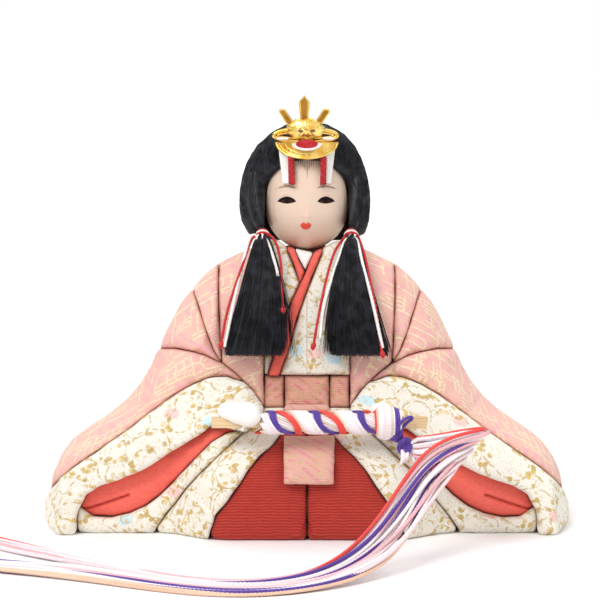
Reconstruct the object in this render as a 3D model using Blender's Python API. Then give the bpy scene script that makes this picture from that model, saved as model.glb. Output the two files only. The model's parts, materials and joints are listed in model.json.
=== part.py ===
"""Seated court-lady doll with cloth tucked into grooves, built at real size in metres, +Z up, facing -Y.

The robe is drawn as it is seen from the front: the outlines are columns and rows of a front view,
and robe_front() says how far in front of the seam plane each drawn point lies. Every robe piece is
a puffed slab between that surface and the seam plane, or between the seam plane and the back.
"""
import math

import bmesh
import bpy
import numpy as np
from mathutils import Matrix, Vector
from mathutils.geometry import delaunay_2d_cdt

# The doll as a whole
ROBE_WIDTH = 0.220
ROBE_HEIGHT = 0.118
FRONT_REACH = 0.053
BACK_REACH = 0.0734
SEAM_DEPTH = -0.006

# The front view that the outlines are drawn in
VIEW_DISTANCE = 1.0
VIEW_HEIGHT = 0.19
ROBE_WIDTH_COLUMNS = 519
MIDDLE_COLUMN = 306.5
FLOOR_ROW = 511.4
PIXEL = ROBE_WIDTH / ROBE_WIDTH_COLUMNS

# Cloth pieces
CLOTH_GAP = 0.0003
LEAST_WALL = 0.0006
OUTLINE_STEP = 0.0075
GRID_STEP = 0.010
RIM_RADIUS = 0.0030
ROLL_RING = 0.0065
GROOVE_DEPTH = 0.0024
NARROW_RIM = 0.0012
NARROW_GROOVE = 0.0010
TIP_ROLL = 0.005
SHOULDER_ROLL = 0.016
TIP_ROLL_HEIGHT = 0.012
SHOULDER_ROLL_HEIGHT = 0.050
TORSO_HALF_WIDTH = 0.036
TORSO_BLEND = 0.024
CUFF_LIFT = 0.0050
FOOT_LIFT = 0.0010
LINING_SINK = -0.0025
STRIP_LIFT = 0.0012
BELT_SINK = -0.0015
SLEEVE_LIFT = 0.0008

# Shares of ROBE_HEIGHT and FRONT_REACH or BACK_REACH down the middle and down the sleeves
TORSO_FRONT_SHARES = (
    (-0.14, 0.94), (-0.04, 0.99), (0.08, 1.0), (0.18, 0.96), (0.25, 0.87), (0.305, 0.76),
    (0.356, 0.66), (0.424, 0.575), (0.525, 0.54), (0.678, 0.48), (0.847, 0.37), (0.975, 0.22), (1.06, 0.09),
)
SLEEVE_FRONT_SHARES = (
    (-0.10, 0.66), (0.08, 0.69), (0.25, 0.66), (0.42, 0.60), (0.60, 0.47), (0.76, 0.32),
    (0.93, 0.17), (1.06, 0.08),
)
TORSO_BACK_SHARES = (
    (-0.10, 1.0), (0.10, 0.99), (0.25, 0.93), (0.42, 0.79), (0.60, 0.62), (0.78, 0.48),
    (0.92, 0.37), (1.06, 0.25),
)
SLEEVE_BACK_SHARES = (
    (-0.10, 0.66), (0.12, 0.66), (0.30, 0.60), (0.50, 0.50), (0.70, 0.38), (0.90, 0.24),
    (1.06, 0.12),
)

# Front view, left half: columns and rows. The right half is its mirror image.
SKY_NECK = ((258, 243), (247, 248), (233, 253.5), (220, 261))
SKY_SHOULDER = ((220, 261), (207, 272), (194.5, 286.5))
SKY_ARM = ((194.5, 286.5), (183, 301), (172, 321), (161, 346))
SKY_SLEEVE = (
    (161, 346), (152.5, 365), (140, 385), (122, 404), (98, 421), (76, 437), (60, 461), (51, 488),
)
SKY_CUFF = ((51, 488), (48, 500))
SKY_TIP = ((48, 500), (47, 530), (47, 600))
GROOVE_ONE = ((220, 261), (219, 290), (220, 330), (222, 361))
GROOVE_TWO = ((194.5, 286.5), (203, 315), (213, 345), (222, 361))
GROOVE_THREE_OUTER = ((161, 346), (183, 347), (211, 355), (222, 361))
GROOVE_THREE_INNER = ((222, 361), (233, 369.5), (244, 380))
FRONT_EDGE_TOP = ((268, 239), (263, 270), (264, 320), (264, 373))
FRONT_EDGE_LOW = ((264, 373), (264, 406))
CUFF_OUTER = (
    (244, 380), (226, 373.5), (208, 376), (186, 386), (160, 404), (130, 427),
    (100, 448), (78, 463), (60, 478), (51, 488),
)
CUFF_TOP = ((258, 397), (252, 388), (244, 380))
CUFF_FLANK = ((264, 406), (262, 402), (258, 397))
CUFF_WRIST = ((264, 406), (256, 419), (246, 428))
CUFF_INNER = (
    (246, 428), (232, 425), (214.5, 419.5), (199.5, 430), (174.5, 444.5), (150, 461), (125, 472.5),
    (100, 481), (86, 490), (79, 505),
)
CUFF_END = ((79, 505), (77, 516), (77.5, 526))
LINING_LOWER = (
    (79, 505), (88, 513), (100, 516), (116.5, 515.5), (133, 511), (150, 502.5), (166, 489),
    (183, 471), (199.5, 454), (216, 438), (232, 430), (246, 428),
)
STRIP_GROOVE = (
    (246, 428), (232, 441), (216, 456), (191, 481), (174.5, 502.5), (162, 517), (157, 526),
)
HAKAMA_EDGE = (
    (284, 428), (275.5, 439.5), (266, 447), (249, 466), (232.5, 492), (219.5, 507.5), (212, 519),
    (210, 530),
)
STRIP_TOP = ((264, 406), (284, 406))
HAKAMA_TOP = ((284, 406), (MIDDLE_COLUMN, 406))
HAKAMA_SIDE = ((284, 406), (284, 428))
MIDDLE_LINE = ((MIDDLE_COLUMN, 406), (MIDDLE_COLUMN, 440), (MIDDLE_COLUMN, 500))
ROLL_FLOOR_COLUMNS = (47.2, 48.5, 51, 56, 66, 77.5)
FOOT_FLOOR_COLUMNS = (77.5, 100, 128, 157)
STRIP_FLOOR_COLUMNS = (157, 175, 193, 210)
HAKAMA_FLOOR_COLUMNS = (210, 228, 250, 280, MIDDLE_COLUMN)

# Crossed robes: the long coral collar runs down from the upper right
LONG_COLLAR_OUTER = ((323, 247), (308, 284), (296, 318), (287, 350), (279, 373))
LONG_COLLAR_TOP = ((313, 252), (305, 270))
LONG_COLLAR_CROSSING = ((305, 270), (300, 281.5))
LONG_COLLAR_INNER = ((300, 281.5), (285, 315), (275, 350), (268, 373))
SHORT_COLLAR_OUTER = ((286, 246), (293, 262), (300, 281.5))
SHORT_COLLAR_INNER = ((294.5, 248), (299, 259), (305, 270))
CHEST_BOTTOM_LEFT = ((264, 373), (268, 373))
RIGHT_NECK = ((345, 239), (334, 241), (323, 247))
LEFT_NECK = ((268, 239), (279, 240), (286, 246))
NECK_HOLLOW = ((294.5, 248), (304, 250), (313, 252))

# Belt and sash
BELT_TOP_ROW = 373
BELT_BOTTOM_ROW = 406
BELT_SIDE_COLUMN = 264
BELT_FOLD_COLUMN = 284
SASH_LEFT_COLUMN = 283
SASH_RIGHT_COLUMN = 334
SASH_BOTTOM_ROW = 481
SASH_TOP_ROW = 431
SASH_THICKNESS = 0.0034
SASH_CLEARANCE = 0.0016
ROLL_ROW = 406
ROLL_COLUMN = 285
ROLL_RADIUS = 0.0019
ROLL_CLEARANCE = 0.0005

# Body core, base card and neck hole
CORE_HALF_WIDTH = 0.030
CORE_BACK_DEPTH = 0.024
CORE_TOP = 0.0975
CORE_SHOULDER = 0.084
CORE_NECK_HALF_WIDTH = 0.014
BACK_HALF_WIDTH = 0.0315
BACK_TOP = 0.1085
COLLAR_TOP = 0.1130
COLLAR_INNER_RADIUS = 0.0070
COLLAR_OUTER_RADIUS = 0.0102
CARD_THICKNESS = 0.0010
CARD_MARGIN = 0.0020
NECK_DEPTH = 0.004
PEG_RADIUS = 0.0042
PEG_CLEARANCE = 0.0004
PEG_BOTTOM = 0.084
PEG_TOP = 0.1235
PEG_SHOULDER_RADIUS = 0.0060
PEG_SHOULDER_THICKNESS = 0.0016

# Head
HEAD_CENTRE_ROW = 205
HEAD_DEPTH = -0.001
HEAD_HALF_WIDTH = 0.0174
HEAD_FRONT = 0.0175
HEAD_BACK = 0.0180
HEAD_LOWER = 0.0180
HEAD_UPPER = 0.0300
HEAD_CENTRE_HEIGHT = (FLOOR_ROW - HEAD_CENTRE_ROW) * PIXEL
HEAD_SIDES = 24
HEAD_RINGS = 18
HEAD_FRONT_SHARE = 0.55
NOSE_DROP = 0.0050
NOSE_HEIGHT = 0.0013
NOSE_SPREAD = 0.0020
NOSE_BRIDGE_SPREAD = 0.0052
BROW_DROP = -0.0040
EYE_SPACING = 0.0090
EYE_HOLLOW = 0.0006
EYE_SPREAD = 0.0038
LIP_DROP = 0.0088
LIP_HEIGHT = 0.0006
LIP_SPREAD = 0.0018
CHIN_DROP = 0.0140
CHIN_HEIGHT = 0.0006
CHIN_SPREAD = 0.0040

# Hair: outline radii about the head's centre as shares of HEAD_UPPER, by angle above the horizontal
HAIR_GAP = 0.0008
HAIR_BACK = 0.0245
HAIR_FRONT = 0.0205
HAIR_SIDES = 28
HAIR_STEPS = 60
NEAR_STEP = 0.0012
HAIR_RINGS = 12
HAIR_RADIUS_SHARES = (
    (-90, 0.650), (-60, 0.690), (-45, 0.800), (-30, 0.915), (-17, 0.935), (0, 0.940), (20, 0.965),
    (40, 1.020), (60, 1.110), (75, 1.160), (90, 1.175),
)
# Where the hair ends on the head, in degrees behind the widest line, by the same angle
HAIRLINE_DEGREES = (
    (-90, 38), (-75, 36), (-60, 28), (-45, 14), (-30, -6), (0, -9), (25, -13), (53, -35), (75, -47), (90, -51),
)
HAIR_EASE_DEGREES = 26
HAIR_EDGE_SHARE = 0.30
# Side locks that run down to the ties: x, y, z and radius, right side
LOCK_ROWS = (
    (0.0210, -0.0020, 0.1430, 0.0040), (0.0205, -0.0080, 0.1320, 0.0034),
    (0.0192, -0.0112, 0.1260, 0.0029), (0.0184, -0.0128, 0.1222, 0.0025),
)

# Tails below the ties
TIE_COLUMN = 263
TIE_ROW = 231.5
TIE_DEPTH = -0.0140
TAIL_BOTTOM_ROW = 353
TAIL_TOP_HALF_WIDTH = 0.0030
TAIL_TOP_HALF_DEPTH = 0.0022
# Down each tail: how far along, then shares of the side swing, forward swing and top half width
TAIL_PATH_SHARES = (
    (0.0, 0.0, 0.0, 1.0), (0.07, 0.0, 0.16, 1.2), (0.20, 0.02, 0.42, 1.75), (0.317, 0.05, 0.60, 2.2),
    (0.61, 0.25, 0.82, 3.1), (1.0, 1.0, 1.0, 4.0),
)
TAIL_SIDE_SWING = 0.0040
TAIL_FORWARD_SWING = 0.0260
TAIL_DEPTH_GROWTH = 0.50
TAIL_RINGS = 10
TAIL_SIDES = 12
TIE_RING_THICKNESS = 0.0011
TIE_RING_HEIGHT = 0.0020
TIE_RING_DROP = 0.0008
TIE_CORD_RADIUS = 0.0008
# The tie's hanging cords, left side
TIE_CORD_START = 0.0010
# The tie's hanging cords, left side
TIE_OUTER_CORD = ((253, 246), (245, 262), (234.7, 300), (223.7, 345.5))
TIE_INNER_CORD = ((273.5, 246), (280, 262), (281.6, 285))

# Crown
PLATE_TOP_ROW = 143.2
PLATE_BOTTOM_ROW = 159.5
PLATE_HALF_WIDTH = 0.0131
PLATE_THICKNESS = 0.0010
PLATE_WRAP = 0.0045
PLATE_LEAN = 0.0012
PLATE_SEATING = 0.0016
PLATE_SIDES = 12
PLATE_ROWS = 4
CREST_RING_ROW = 135.5
CREST_RING_HALF_WIDTH = 0.0131
CREST_RING_HALF_HEIGHT = 0.0021
CREST_WIRE = 0.0007
CREST_SEATING = 0.0005
BOSS_ROW = 130
BOSS_HALF_WIDTH = 0.0078
BOSS_HALF_HEIGHT = 0.0048
BOSS_HALF_DEPTH = 0.0036
# Prongs: columns and rows of the middle one's right half and of the right side one
PRONG_OUTLINE = (
    (304, 96.5), (307, 99.5), (310, 104), (309.5, 111), (308.5, 118), (308.5, 126), (299.5, 126),
    (299.5, 118), (298.5, 111), (298, 104), (301, 99.5),
)
SIDE_PRONG_OUTLINE = (
    (327.5, 107.5), (330.5, 109.5), (327, 116), (322.5, 125), (316, 127), (315, 124), (320, 116),
    (324.5, 109),
)
PRONG_THICKNESS = 0.0016
TUFT_ROW = 145.5
TUFT_HALF_WIDTH = 0.0046
TUFT_HALF_HEIGHT = 0.0017
TUFT_HALF_DEPTH = 0.0012
RIBBON_TOP = (276, 290)
RIBBON_BOTTOM = (281, 295)
RIBBON_TOP_ROW = 146
RIBBON_BOTTOM_ROW = 183
RIBBON_THICKNESS = 0.0009
RIBBON_SEATING = 0.0003
RIBBON_STEPS = 8

# Fan, its winding and its knot
FAN_ROW = 423
FAN_DEPTH = -0.0610
# Along the fan: column and half height
FAN_ROWS = (
    (212, 0.0021), (222, 0.0021), (264, 0.0020), (374, 0.0020), (398, 0.0026), (425, 0.0029),
)
FAN_HALF_THICKNESS = 0.0013
FAN_EDGE = 0.0005
STRAND_RADIUS = 0.00095
WINDING_RADIUS = 0.0037
WINDING_LEFT_COLUMN = 265
WINDING_PITCH = 0.0182
WINDING_TURNS = 1.65
WINDING_SHARE = 0.80
STRAND_COLOURS = ("cord_red", "cord_peach", "cord_white", "cord_pink", "cord_purple")
LOOP_POINTS = 24
KNOT_BORE_RADIUS = 0.0035
# Along the knot: column and radius
KNOT_ROWS = ((376, 0.0046), (379, 0.0058), (386, 0.0063), (392, 0.0058), (396, 0.0050), (400, 0.0046))
KNOT_SIDES = 16
LUMP_CENTRE = (0.0380, -0.0622, 0.0385)
LUMP_HALVES = (0.0048, 0.0036, 0.0056)

# Hands
HAND_COLUMN = 239
HAND_ROW = 413.5
HAND_DEPTH = -0.0595
HAND_HALVES = (0.0090, 0.0080, 0.0056)
HAND_CLEARANCE = 0.0004
WRIST_HALF = 0.0042
WRIST_BACK = -0.0460
FINGER_COLUMN = 242.5
FINGER_DROP = 0.0036
FINGER_HALVES = (0.0034, 0.0046, 0.0034)
HAND_RIGHT_COLUMN = 380
HAND_RIGHT_ROW = 411
HAND_RIGHT_DEPTH = -0.0498
HAND_RIGHT_HALVES = (0.0060, 0.0030, 0.0048)
BALL_SIDES = 14
BALL_RINGS = 9

# Free cords: they leave the knot side by side and share a run, each at its own place across it.
# The run's rows give a point (x, y, z) and the step across to the next cord (x, y, z).
CORD_RADIUS = 0.0010
CORD_POINT_STEP = 0.0060
CORD_FLOOR = 0.0011
CORD_RUN = (
    (0.0432, -0.0625, 0.0372, 0.0000, 0.0000, 0.0024),
    (0.0500, -0.0645, 0.0380, 0.0006, 0.0000, 0.0025),
    (0.0575, -0.0665, 0.0398, 0.0016, 0.0000, 0.0027),
    (0.0640, -0.0720, 0.0414, 0.0028, 0.0000, 0.0028),
    (0.0655, -0.0795, 0.0416, 0.0033, 0.0000, 0.0029),
    (0.0610, -0.0860, 0.0408, 0.0022, 0.0000, 0.0031),
    (0.0535, -0.0900, 0.0385, 0.0000, 0.0003, 0.0032),
    (0.0465, -0.0935, 0.0340, -0.0011, 0.0008, 0.0029),
    (0.0410, -0.0980, 0.0270, -0.0016, 0.0012, 0.0024),
    (0.0360, -0.1040, 0.0190, -0.0022, 0.0018, 0.0018),
    (0.0290, -0.1130, 0.0105, -0.0022, 0.0028, 0.0011),
    (0.0180, -0.1260, 0.0045, -0.0018, 0.0034, 0.0004),
    (0.0030, -0.1400, CORD_FLOOR, -0.0008, 0.0040, 0.0),
    (-0.0160, -0.1510, CORD_FLOOR, 0.0, 0.0042, 0.0),
    (-0.0350, -0.1500, CORD_FLOOR, 0.0012, 0.0040, 0.0),
    (-0.0520, -0.1400, CORD_FLOOR, 0.0018, 0.0036, 0.0),
)
# Each cord's place across the run, and the points after it (x, y), flat on the floor
CORDS = {
    "cord_red": (2, (
        (-0.0650, -0.1180), (-0.0830, -0.0990), (-0.0990, -0.0850), (-0.1115, -0.0725),
        (-0.1225, -0.0600), (-0.1330, -0.0500),
    )),
    "cord_white": (1, (
        (-0.0670, -0.1215), (-0.0850, -0.1040), (-0.1010, -0.0920), (-0.1150, -0.0790),
        (-0.1260, -0.0665), (-0.1345, -0.0565),
    )),
    "cord_purple": (0, (
        (-0.0690, -0.1265), (-0.0860, -0.1140), (-0.1040, -0.1060), (-0.1200, -0.1010),
        (-0.1350, -0.0980),
    )),
    "cord_pink": (-1, (
        (-0.0700, -0.1320), (-0.0870, -0.1210), (-0.1050, -0.1120), (-0.1210, -0.1060),
        (-0.1360, -0.1030),
    )),
    "cord_peach": (-2, (
        (-0.0710, -0.1375), (-0.0880, -0.1280), (-0.1060, -0.1190), (-0.1220, -0.1130),
        (-0.1370, -0.1090),
    )),
}

COLOURS = {
    "crepe_red": ((0.49, 0.035, 0.03), 0.85, 0.0),
    "cream_brocade": ((0.86, 0.80, 0.66), 0.75, 0.0),
    "pink_brocade": ((0.80, 0.44, 0.37), 0.80, 0.0),
    "coral_cloth": ((0.82, 0.11, 0.07), 0.80, 0.0),
    "white_cloth": ((0.88, 0.86, 0.82), 0.85, 0.0),
    "composite": ((0.55, 0.45, 0.33), 0.90, 0.0),
    "card": ((0.70, 0.66, 0.58), 0.95, 0.0),
    "face_white": ((0.90, 0.78, 0.68), 0.45, 0.0),
    "hair_black": ((0.012, 0.012, 0.018), 0.40, 0.0),
    "gilt": ((0.90, 0.62, 0.15), 0.25, 1.0),
    "tuft_red": ((0.50, 0.02, 0.02), 0.80, 0.0),
    "wood": ((0.72, 0.54, 0.31), 0.60, 0.0),
    "cord_red": ((0.80, 0.06, 0.05), 0.60, 0.0),
    "cord_purple": ((0.08, 0.03, 0.30), 0.60, 0.0),
    "cord_white": ((0.90, 0.86, 0.86), 0.60, 0.0),
    "cord_pink": ((0.92, 0.68, 0.70), 0.60, 0.0),
    "cord_peach": ((0.90, 0.60, 0.44), 0.60, 0.0),
}


def material(name):
    """The named finish, made once."""
    found = bpy.data.materials.get(name)
    if found:
        return found
    colour, roughness, metallic = COLOURS[name]
    made = bpy.data.materials.new(name)
    made.use_nodes = True
    shader = made.node_tree.nodes["Principled BSDF"]
    shader.inputs["Base Color"].default_value = (*colour, 1.0)
    shader.inputs["Roughness"].default_value = roughness
    shader.inputs["Metallic"].default_value = metallic
    made.diffuse_color = (*colour, 1.0)
    return made


def place(obj, finish):
    """Links an object to the scene with its finish."""
    obj.data.materials.append(material(finish))
    bpy.context.scene.collection.objects.link(obj)
    return obj


def solid(name, points, faces, finish):
    """A closed mesh object whose faces all point out, shaded smooth."""
    mesh = bpy.data.meshes.new(name)
    mesh.from_pydata([tuple(p) for p in points], [], faces)
    work = bmesh.new()
    work.from_mesh(mesh)
    bmesh.ops.recalc_face_normals(work, faces=work.faces)
    work.to_mesh(mesh)
    work.free()
    mesh.shade_smooth()
    return place(bpy.data.objects.new(name, mesh), finish)


def curve_value(shares, at):
    """A smooth value between the rows of a table of (place, value)."""
    table = np.array(shares, float)
    slopes = np.gradient(table[:, 1], table[:, 0])
    at = np.clip(at, table[0, 0], table[-1, 0])
    index = np.clip(np.searchsorted(table[:, 0], at) - 1, 0, len(table) - 2)
    span = table[index + 1, 0] - table[index, 0]
    t = (at - table[index, 0]) / span
    start, end = table[index, 1], table[index + 1, 1]
    rise = (2 * t - 3) * t * t
    tangents = t * (1 - t) * ((1 - t) * slopes[index] - t * slopes[index + 1]) * span
    return start * (1 + rise) - end * rise + tangents


def ease(t):
    """0 to 1 with a gentle start and end."""
    t = np.clip(t, 0, 1)
    return t * t * (3 - 2 * t)


def arc(t):
    """A quarter circle from 0 at 0 to 1 at 1."""
    t = np.clip(t, 0, 1)
    return np.sqrt(1 - (1 - t) ** 2)


def smooth_run(points, step):
    """Points about a step apart on a smooth curve through the given ones."""
    points = np.array(points, float)
    if len(points) == 2:
        count = max(1, round(float(np.linalg.norm(points[1] - points[0])) / step))
        return [points[0] + (points[1] - points[0]) * i / count for i in range(count + 1)]
    ends = np.vstack([2 * points[0] - points[1], points, 2 * points[-1] - points[-2]])
    fine = 16
    dense = []
    for a, b, c, d in zip(ends, ends[1:], ends[2:], ends[3:]):
        for i in range(fine):
            t = i / fine
            dense.append(
                0.5 * (2 * b + (c - a) * t + (2 * a - 5 * b + 4 * c - d) * t**2
                       + (3 * b - a - 3 * c + d) * t**3)
            )
    dense = np.array(dense + [points[-1]])
    lengths = np.concatenate([[0], np.cumsum(np.linalg.norm(np.diff(dense, axis=0), axis=1))])
    count = max(2, round(lengths[-1] / step))
    wanted = np.linspace(0, lengths[-1], count + 1)
    return [np.array([np.interp(w, lengths, dense[:, k]) for k in range(points.shape[1])])
            for w in wanted]


def drawn(pixels):
    """Front-view pixels as metres right of the middle line and above the floor line."""
    return [((column - MIDDLE_COLUMN) * PIXEL, (FLOOR_ROW - row) * PIXEL) for column, row in pixels]


def distance_to_line(x, z, line):
    """How far each (x, z) is from an open or closed line of points."""
    points = np.stack([np.asarray(x, float).ravel(), np.asarray(z, float).ravel()], 1)
    line = np.asarray(line, float)
    best = np.full(len(points), np.inf)
    for a, b in zip(line, line[1:]):
        along = b - a
        t = np.clip(((points - a) @ along) / max(along @ along, 1e-18), 0, 1)
        best = np.minimum(best, np.linalg.norm(points - a - t[:, None] * along, axis=1))
    return best.reshape(np.shape(x))


SKYLINE = [
    p for part in (SKY_NECK, SKY_SHOULDER, SKY_ARM, SKY_SLEEVE, SKY_CUFF, SKY_TIP)
    for p in smooth_run(drawn(part), OUTLINE_STEP)
]


def roll_at(z):
    """The radius that the robe's outer edge is rounded to, at a height."""
    up = ease((z - TIP_ROLL_HEIGHT) / (SHOULDER_ROLL_HEIGHT - TIP_ROLL_HEIGHT))
    return TIP_ROLL + (SHOULDER_ROLL - TIP_ROLL) * up


def robe_front(x, z):
    """Depth of the robe's front surface at the drawn point (x, z)."""
    x, z = np.asarray(x, float), np.asarray(z, float)
    torso = curve_value(TORSO_FRONT_SHARES, z / ROBE_HEIGHT)
    sleeve = curve_value(SLEEVE_FRONT_SHARES, z / ROBE_HEIGHT)
    side = ease((abs(x) - TORSO_HALF_WIDTH) / TORSO_BLEND)
    reach = FRONT_REACH * (torso + (sleeve - torso) * side)
    edge = distance_to_line(-abs(x), z, SKYLINE)
    return SEAM_DEPTH - reach * arc(edge / roll_at(z))


def at_depth(x, z, depth):
    """World x and z of a drawn point that lies at a depth."""
    nearer = 1 + depth / VIEW_DISTANCE
    return x * nearer, VIEW_HEIGHT + (z - VIEW_HEIGHT) * nearer


def on_robe(x, z):
    """World x and z of a drawn point on the robe's front."""
    return at_depth(x, z, robe_front(x, z))


def floor_line(columns):
    """Drawn points where the robe's front meets the floor below these columns."""
    line = []
    for column in columns:
        x = (column - MIDDLE_COLUMN) * PIXEL
        z = 0.0
        for _ in range(12):
            nearer = 1 + float(robe_front(x, z)) / VIEW_DISTANCE
            z = VIEW_HEIGHT - VIEW_HEIGHT / nearer
        line.append((x, z))
    return line


def robe_back(x, z):
    """Depth of the robe's back surface at the world point (x, z)."""
    torso = curve_value(TORSO_BACK_SHARES, z / ROBE_HEIGHT)
    sleeve = curve_value(SLEEVE_BACK_SHARES, z / ROBE_HEIGHT)
    side = ease((abs(x) - TORSO_HALF_WIDTH) / TORSO_BLEND)
    reach = BACK_REACH * (torso + (sleeve - torso) * side)
    edge = distance_to_line(-abs(x), z, BACK_SKYLINE)
    return SEAM_DEPTH + reach * arc(edge / roll_at(z))


BACK_SKYLINE = [on_robe(*p) for p in SKYLINE]


def joined(*strokes):
    """One closed outline from strokes that follow each other, counter-clockwise."""
    outline = []
    for stroke in strokes:
        points = smooth_run(stroke, OUTLINE_STEP)
        if outline and np.linalg.norm(points[-1] - outline[-1]) < np.linalg.norm(points[0] - outline[-1]):
            points = points[::-1]
        outline += points if not outline else points[1:]
    outline = np.array(outline[:-1] if np.linalg.norm(outline[0] - outline[-1]) < LEAST_WALL else outline)
    x, z = outline[:, 0], outline[:, 1]
    turn = np.sum(x * np.roll(z, -1) - np.roll(x, -1) * z)
    return outline if turn > 0 else outline[::-1]


def inset(outline, by):
    """The outline drawn in by a distance, corners included."""
    before, after = np.roll(outline, 1, axis=0), np.roll(outline, -1, axis=0)
    into, out = outline - before, after - outline
    into /= np.linalg.norm(into, axis=1)[:, None]
    out /= np.linalg.norm(out, axis=1)[:, None]
    normals = np.stack([-(into + out)[:, 1], (into + out)[:, 0]], 1)
    normals /= np.maximum(np.linalg.norm(normals, axis=1), 1e-9)[:, None]
    side = np.stack([-out[:, 1], out[:, 0]], 1)
    reach = by / np.maximum(np.sum(normals * side, axis=1), 0.25)
    return outline + normals * reach[:, None]


def inner_points(outline, rim, extra=()):
    """Points inside an outline: two rings that shape its rounded rim, then a grid."""
    closed_line = np.vstack([outline, outline[:1]])
    kept = []

    def keep(points, least, apart):
        points = np.asarray(points, float).reshape(-1, 2)
        clear = distance_to_line(points[:, 0], points[:, 1], closed_line) > least
        for p in points[clear & inside(points, outline)]:
            if all(np.hypot(*(p - q)) > apart for q in kept):
                kept.append(p)

    keep(extra, rim * 0.1, rim * 0.1)
    keep(inset(outline, rim * 0.3), rim * 0.25, rim * 0.5)
    keep(inset(outline, rim), rim * 0.85, rim * 0.8)
    keep(inset(outline, ROLL_RING), ROLL_RING * 0.9, ROLL_RING * 0.5)
    low, high = outline.min(axis=0), outline.max(axis=0)
    rows = np.arange(low[1], high[1], GRID_STEP * math.sqrt(3) / 2)
    for k, z in enumerate(rows):
        columns = np.arange(low[0] + (k % 2) * GRID_STEP / 2, high[0], GRID_STEP)
        keep([(x, z) for x in columns], rim * 1.5, GRID_STEP * 0.55)
    return np.array(kept).reshape(-1, 2)


def inside(points, outline):
    """Which points lie inside a closed outline."""
    x, z = points[:, 0], points[:, 1]
    found = np.zeros(len(points), bool)
    for a, b in zip(outline, np.roll(outline, -1, axis=0)):
        crosses = (a[1] > z) != (b[1] > z)
        at = (b[0] - a[0]) * (z - a[1]) / (b[1] - a[1] + 1e-18) + a[0]
        found ^= crosses & (x < at)
    return found


def triangles(outline, points):
    """Triangles that fill a closed outline, through the inner points too."""
    count = len(outline)
    everything = [Vector((float(x), float(z))) for x, z in [*outline, *points]]
    loop = [(i, (i + 1) % count) for i in range(count)]
    result = delaunay_2d_cdt(everything, loop, [], 1, 1e-7)
    if any(not sources for sources in result[3]):
        raise ValueError(f"outline crosses itself near {outline[0]}")
    original = [sources[0] for sources in result[3]]
    return [tuple(original[i] for i in face) for face in result[2]]


def slab(name, outline, points, finish, shape, mirrored=False, flat=None):
    """A solid over an outline between two depths; shape gives (x, z, near, far) of the points."""
    everything = np.vstack([outline, points]) if len(points) else outline
    x, z, near, far = shape(everything)
    sign = -1 if mirrored else 1
    count = len(everything)
    edge = len(outline)
    vertices = [(sign * a, c, b) for a, b, c in zip(x, z, near)]
    cover = triangles(outline, points)
    if flat == "far":
        rear = triangles(outline, ())
        vertices += [(sign * a, c, b) for a, b, c in zip(x[:edge], z[:edge], far[:edge])]
        front = cover
    elif flat == "near":
        front = triangles(outline, ())
        vertices = [(sign * a, c, b) for a, b, c in zip(x[:edge], z[:edge], near[:edge])]
        vertices += [(sign * a, c, b) for a, b, c in zip(x, z, far)]
        rear = cover
        count = edge
    else:
        front = rear = cover
        vertices += [(sign * a, c, b) for a, b, c in zip(x, z, far)]
    faces = [tuple(f) for f in front]
    faces += [tuple(count + i for i in reversed(f)) for f in rear]
    faces += [(i, count + i, count + (i + 1) % edge, (i + 1) % edge) for i in range(edge)]
    return solid(name, vertices, faces, finish)


def grounded(x, z, edge):
    """Outline points that all but touch the floor are put on it; none goes under it."""
    z = np.maximum(z, 0)
    z[:edge] = np.where(z[:edge] < LEAST_WALL, 0, z[:edge])
    z[edge:] = np.maximum(z[edge:], LEAST_WALL)
    return x, z


def front_piece(name, strokes, finish, lift=0.0, rim=RIM_RADIUS, groove=GROOVE_DEPTH, mirrored=False):
    """A puffed cloth panel on the robe's front, back to the seam plane."""
    outline = inset(joined(*strokes), CLOTH_GAP / 2)
    points = inner_points(outline, rim)
    far = SEAM_DEPTH - CLOTH_GAP / 2

    def shape(p):
        depth = robe_front(p[:, 0], p[:, 1])
        x, z = at_depth(p[:, 0], p[:, 1], depth)
        x, z = grounded(x, z, len(outline))
        edge = distance_to_line(p[:, 0], p[:, 1], np.vstack([outline, outline[:1]]))
        rise = arc(distance_to_line(-abs(p[:, 0]), p[:, 1], SKYLINE) / roll_at(p[:, 1]))
        near = depth - lift * rise + groove * (1 - arc(edge / rim))
        return x, z, np.minimum(near, far - LEAST_WALL), np.full(len(x), far)

    return slab(name, outline, points, finish, shape, mirrored, "far")


def pair(name, strokes, finish, **options):
    """The same front panel left and right of the middle line."""
    front_piece(f"{name}_left", strokes, finish, **options)
    front_piece(f"{name}_right", strokes, finish, mirrored=True, **options)


def strokes_of(*names):
    return [drawn(n) for n in names]


def robe_panels():
    """The pink outer robe: four grooved panels on each side of the front."""
    pair("front_panel", strokes_of(
        (SKY_NECK[0], FRONT_EDGE_TOP[0]), FRONT_EDGE_TOP, FRONT_EDGE_LOW, CUFF_FLANK, CUFF_TOP,
        GROOVE_THREE_INNER[::-1], GROOVE_ONE[::-1], SKY_NECK[::-1],
    ), "pink_brocade", lift=-SLEEVE_LIFT)
    pair("shoulder_fold", strokes_of(SKY_SHOULDER, GROOVE_TWO, GROOVE_ONE[::-1]), "pink_brocade")
    pair("arm_fold", strokes_of(SKY_ARM, GROOVE_THREE_OUTER, GROOVE_TWO[::-1]), "pink_brocade")
    pair("sleeve", strokes_of(
        SKY_SLEEVE, CUFF_OUTER[::-1], GROOVE_THREE_INNER[::-1], GROOVE_THREE_OUTER[::-1],
    ), "pink_brocade", lift=SLEEVE_LIFT)


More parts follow.
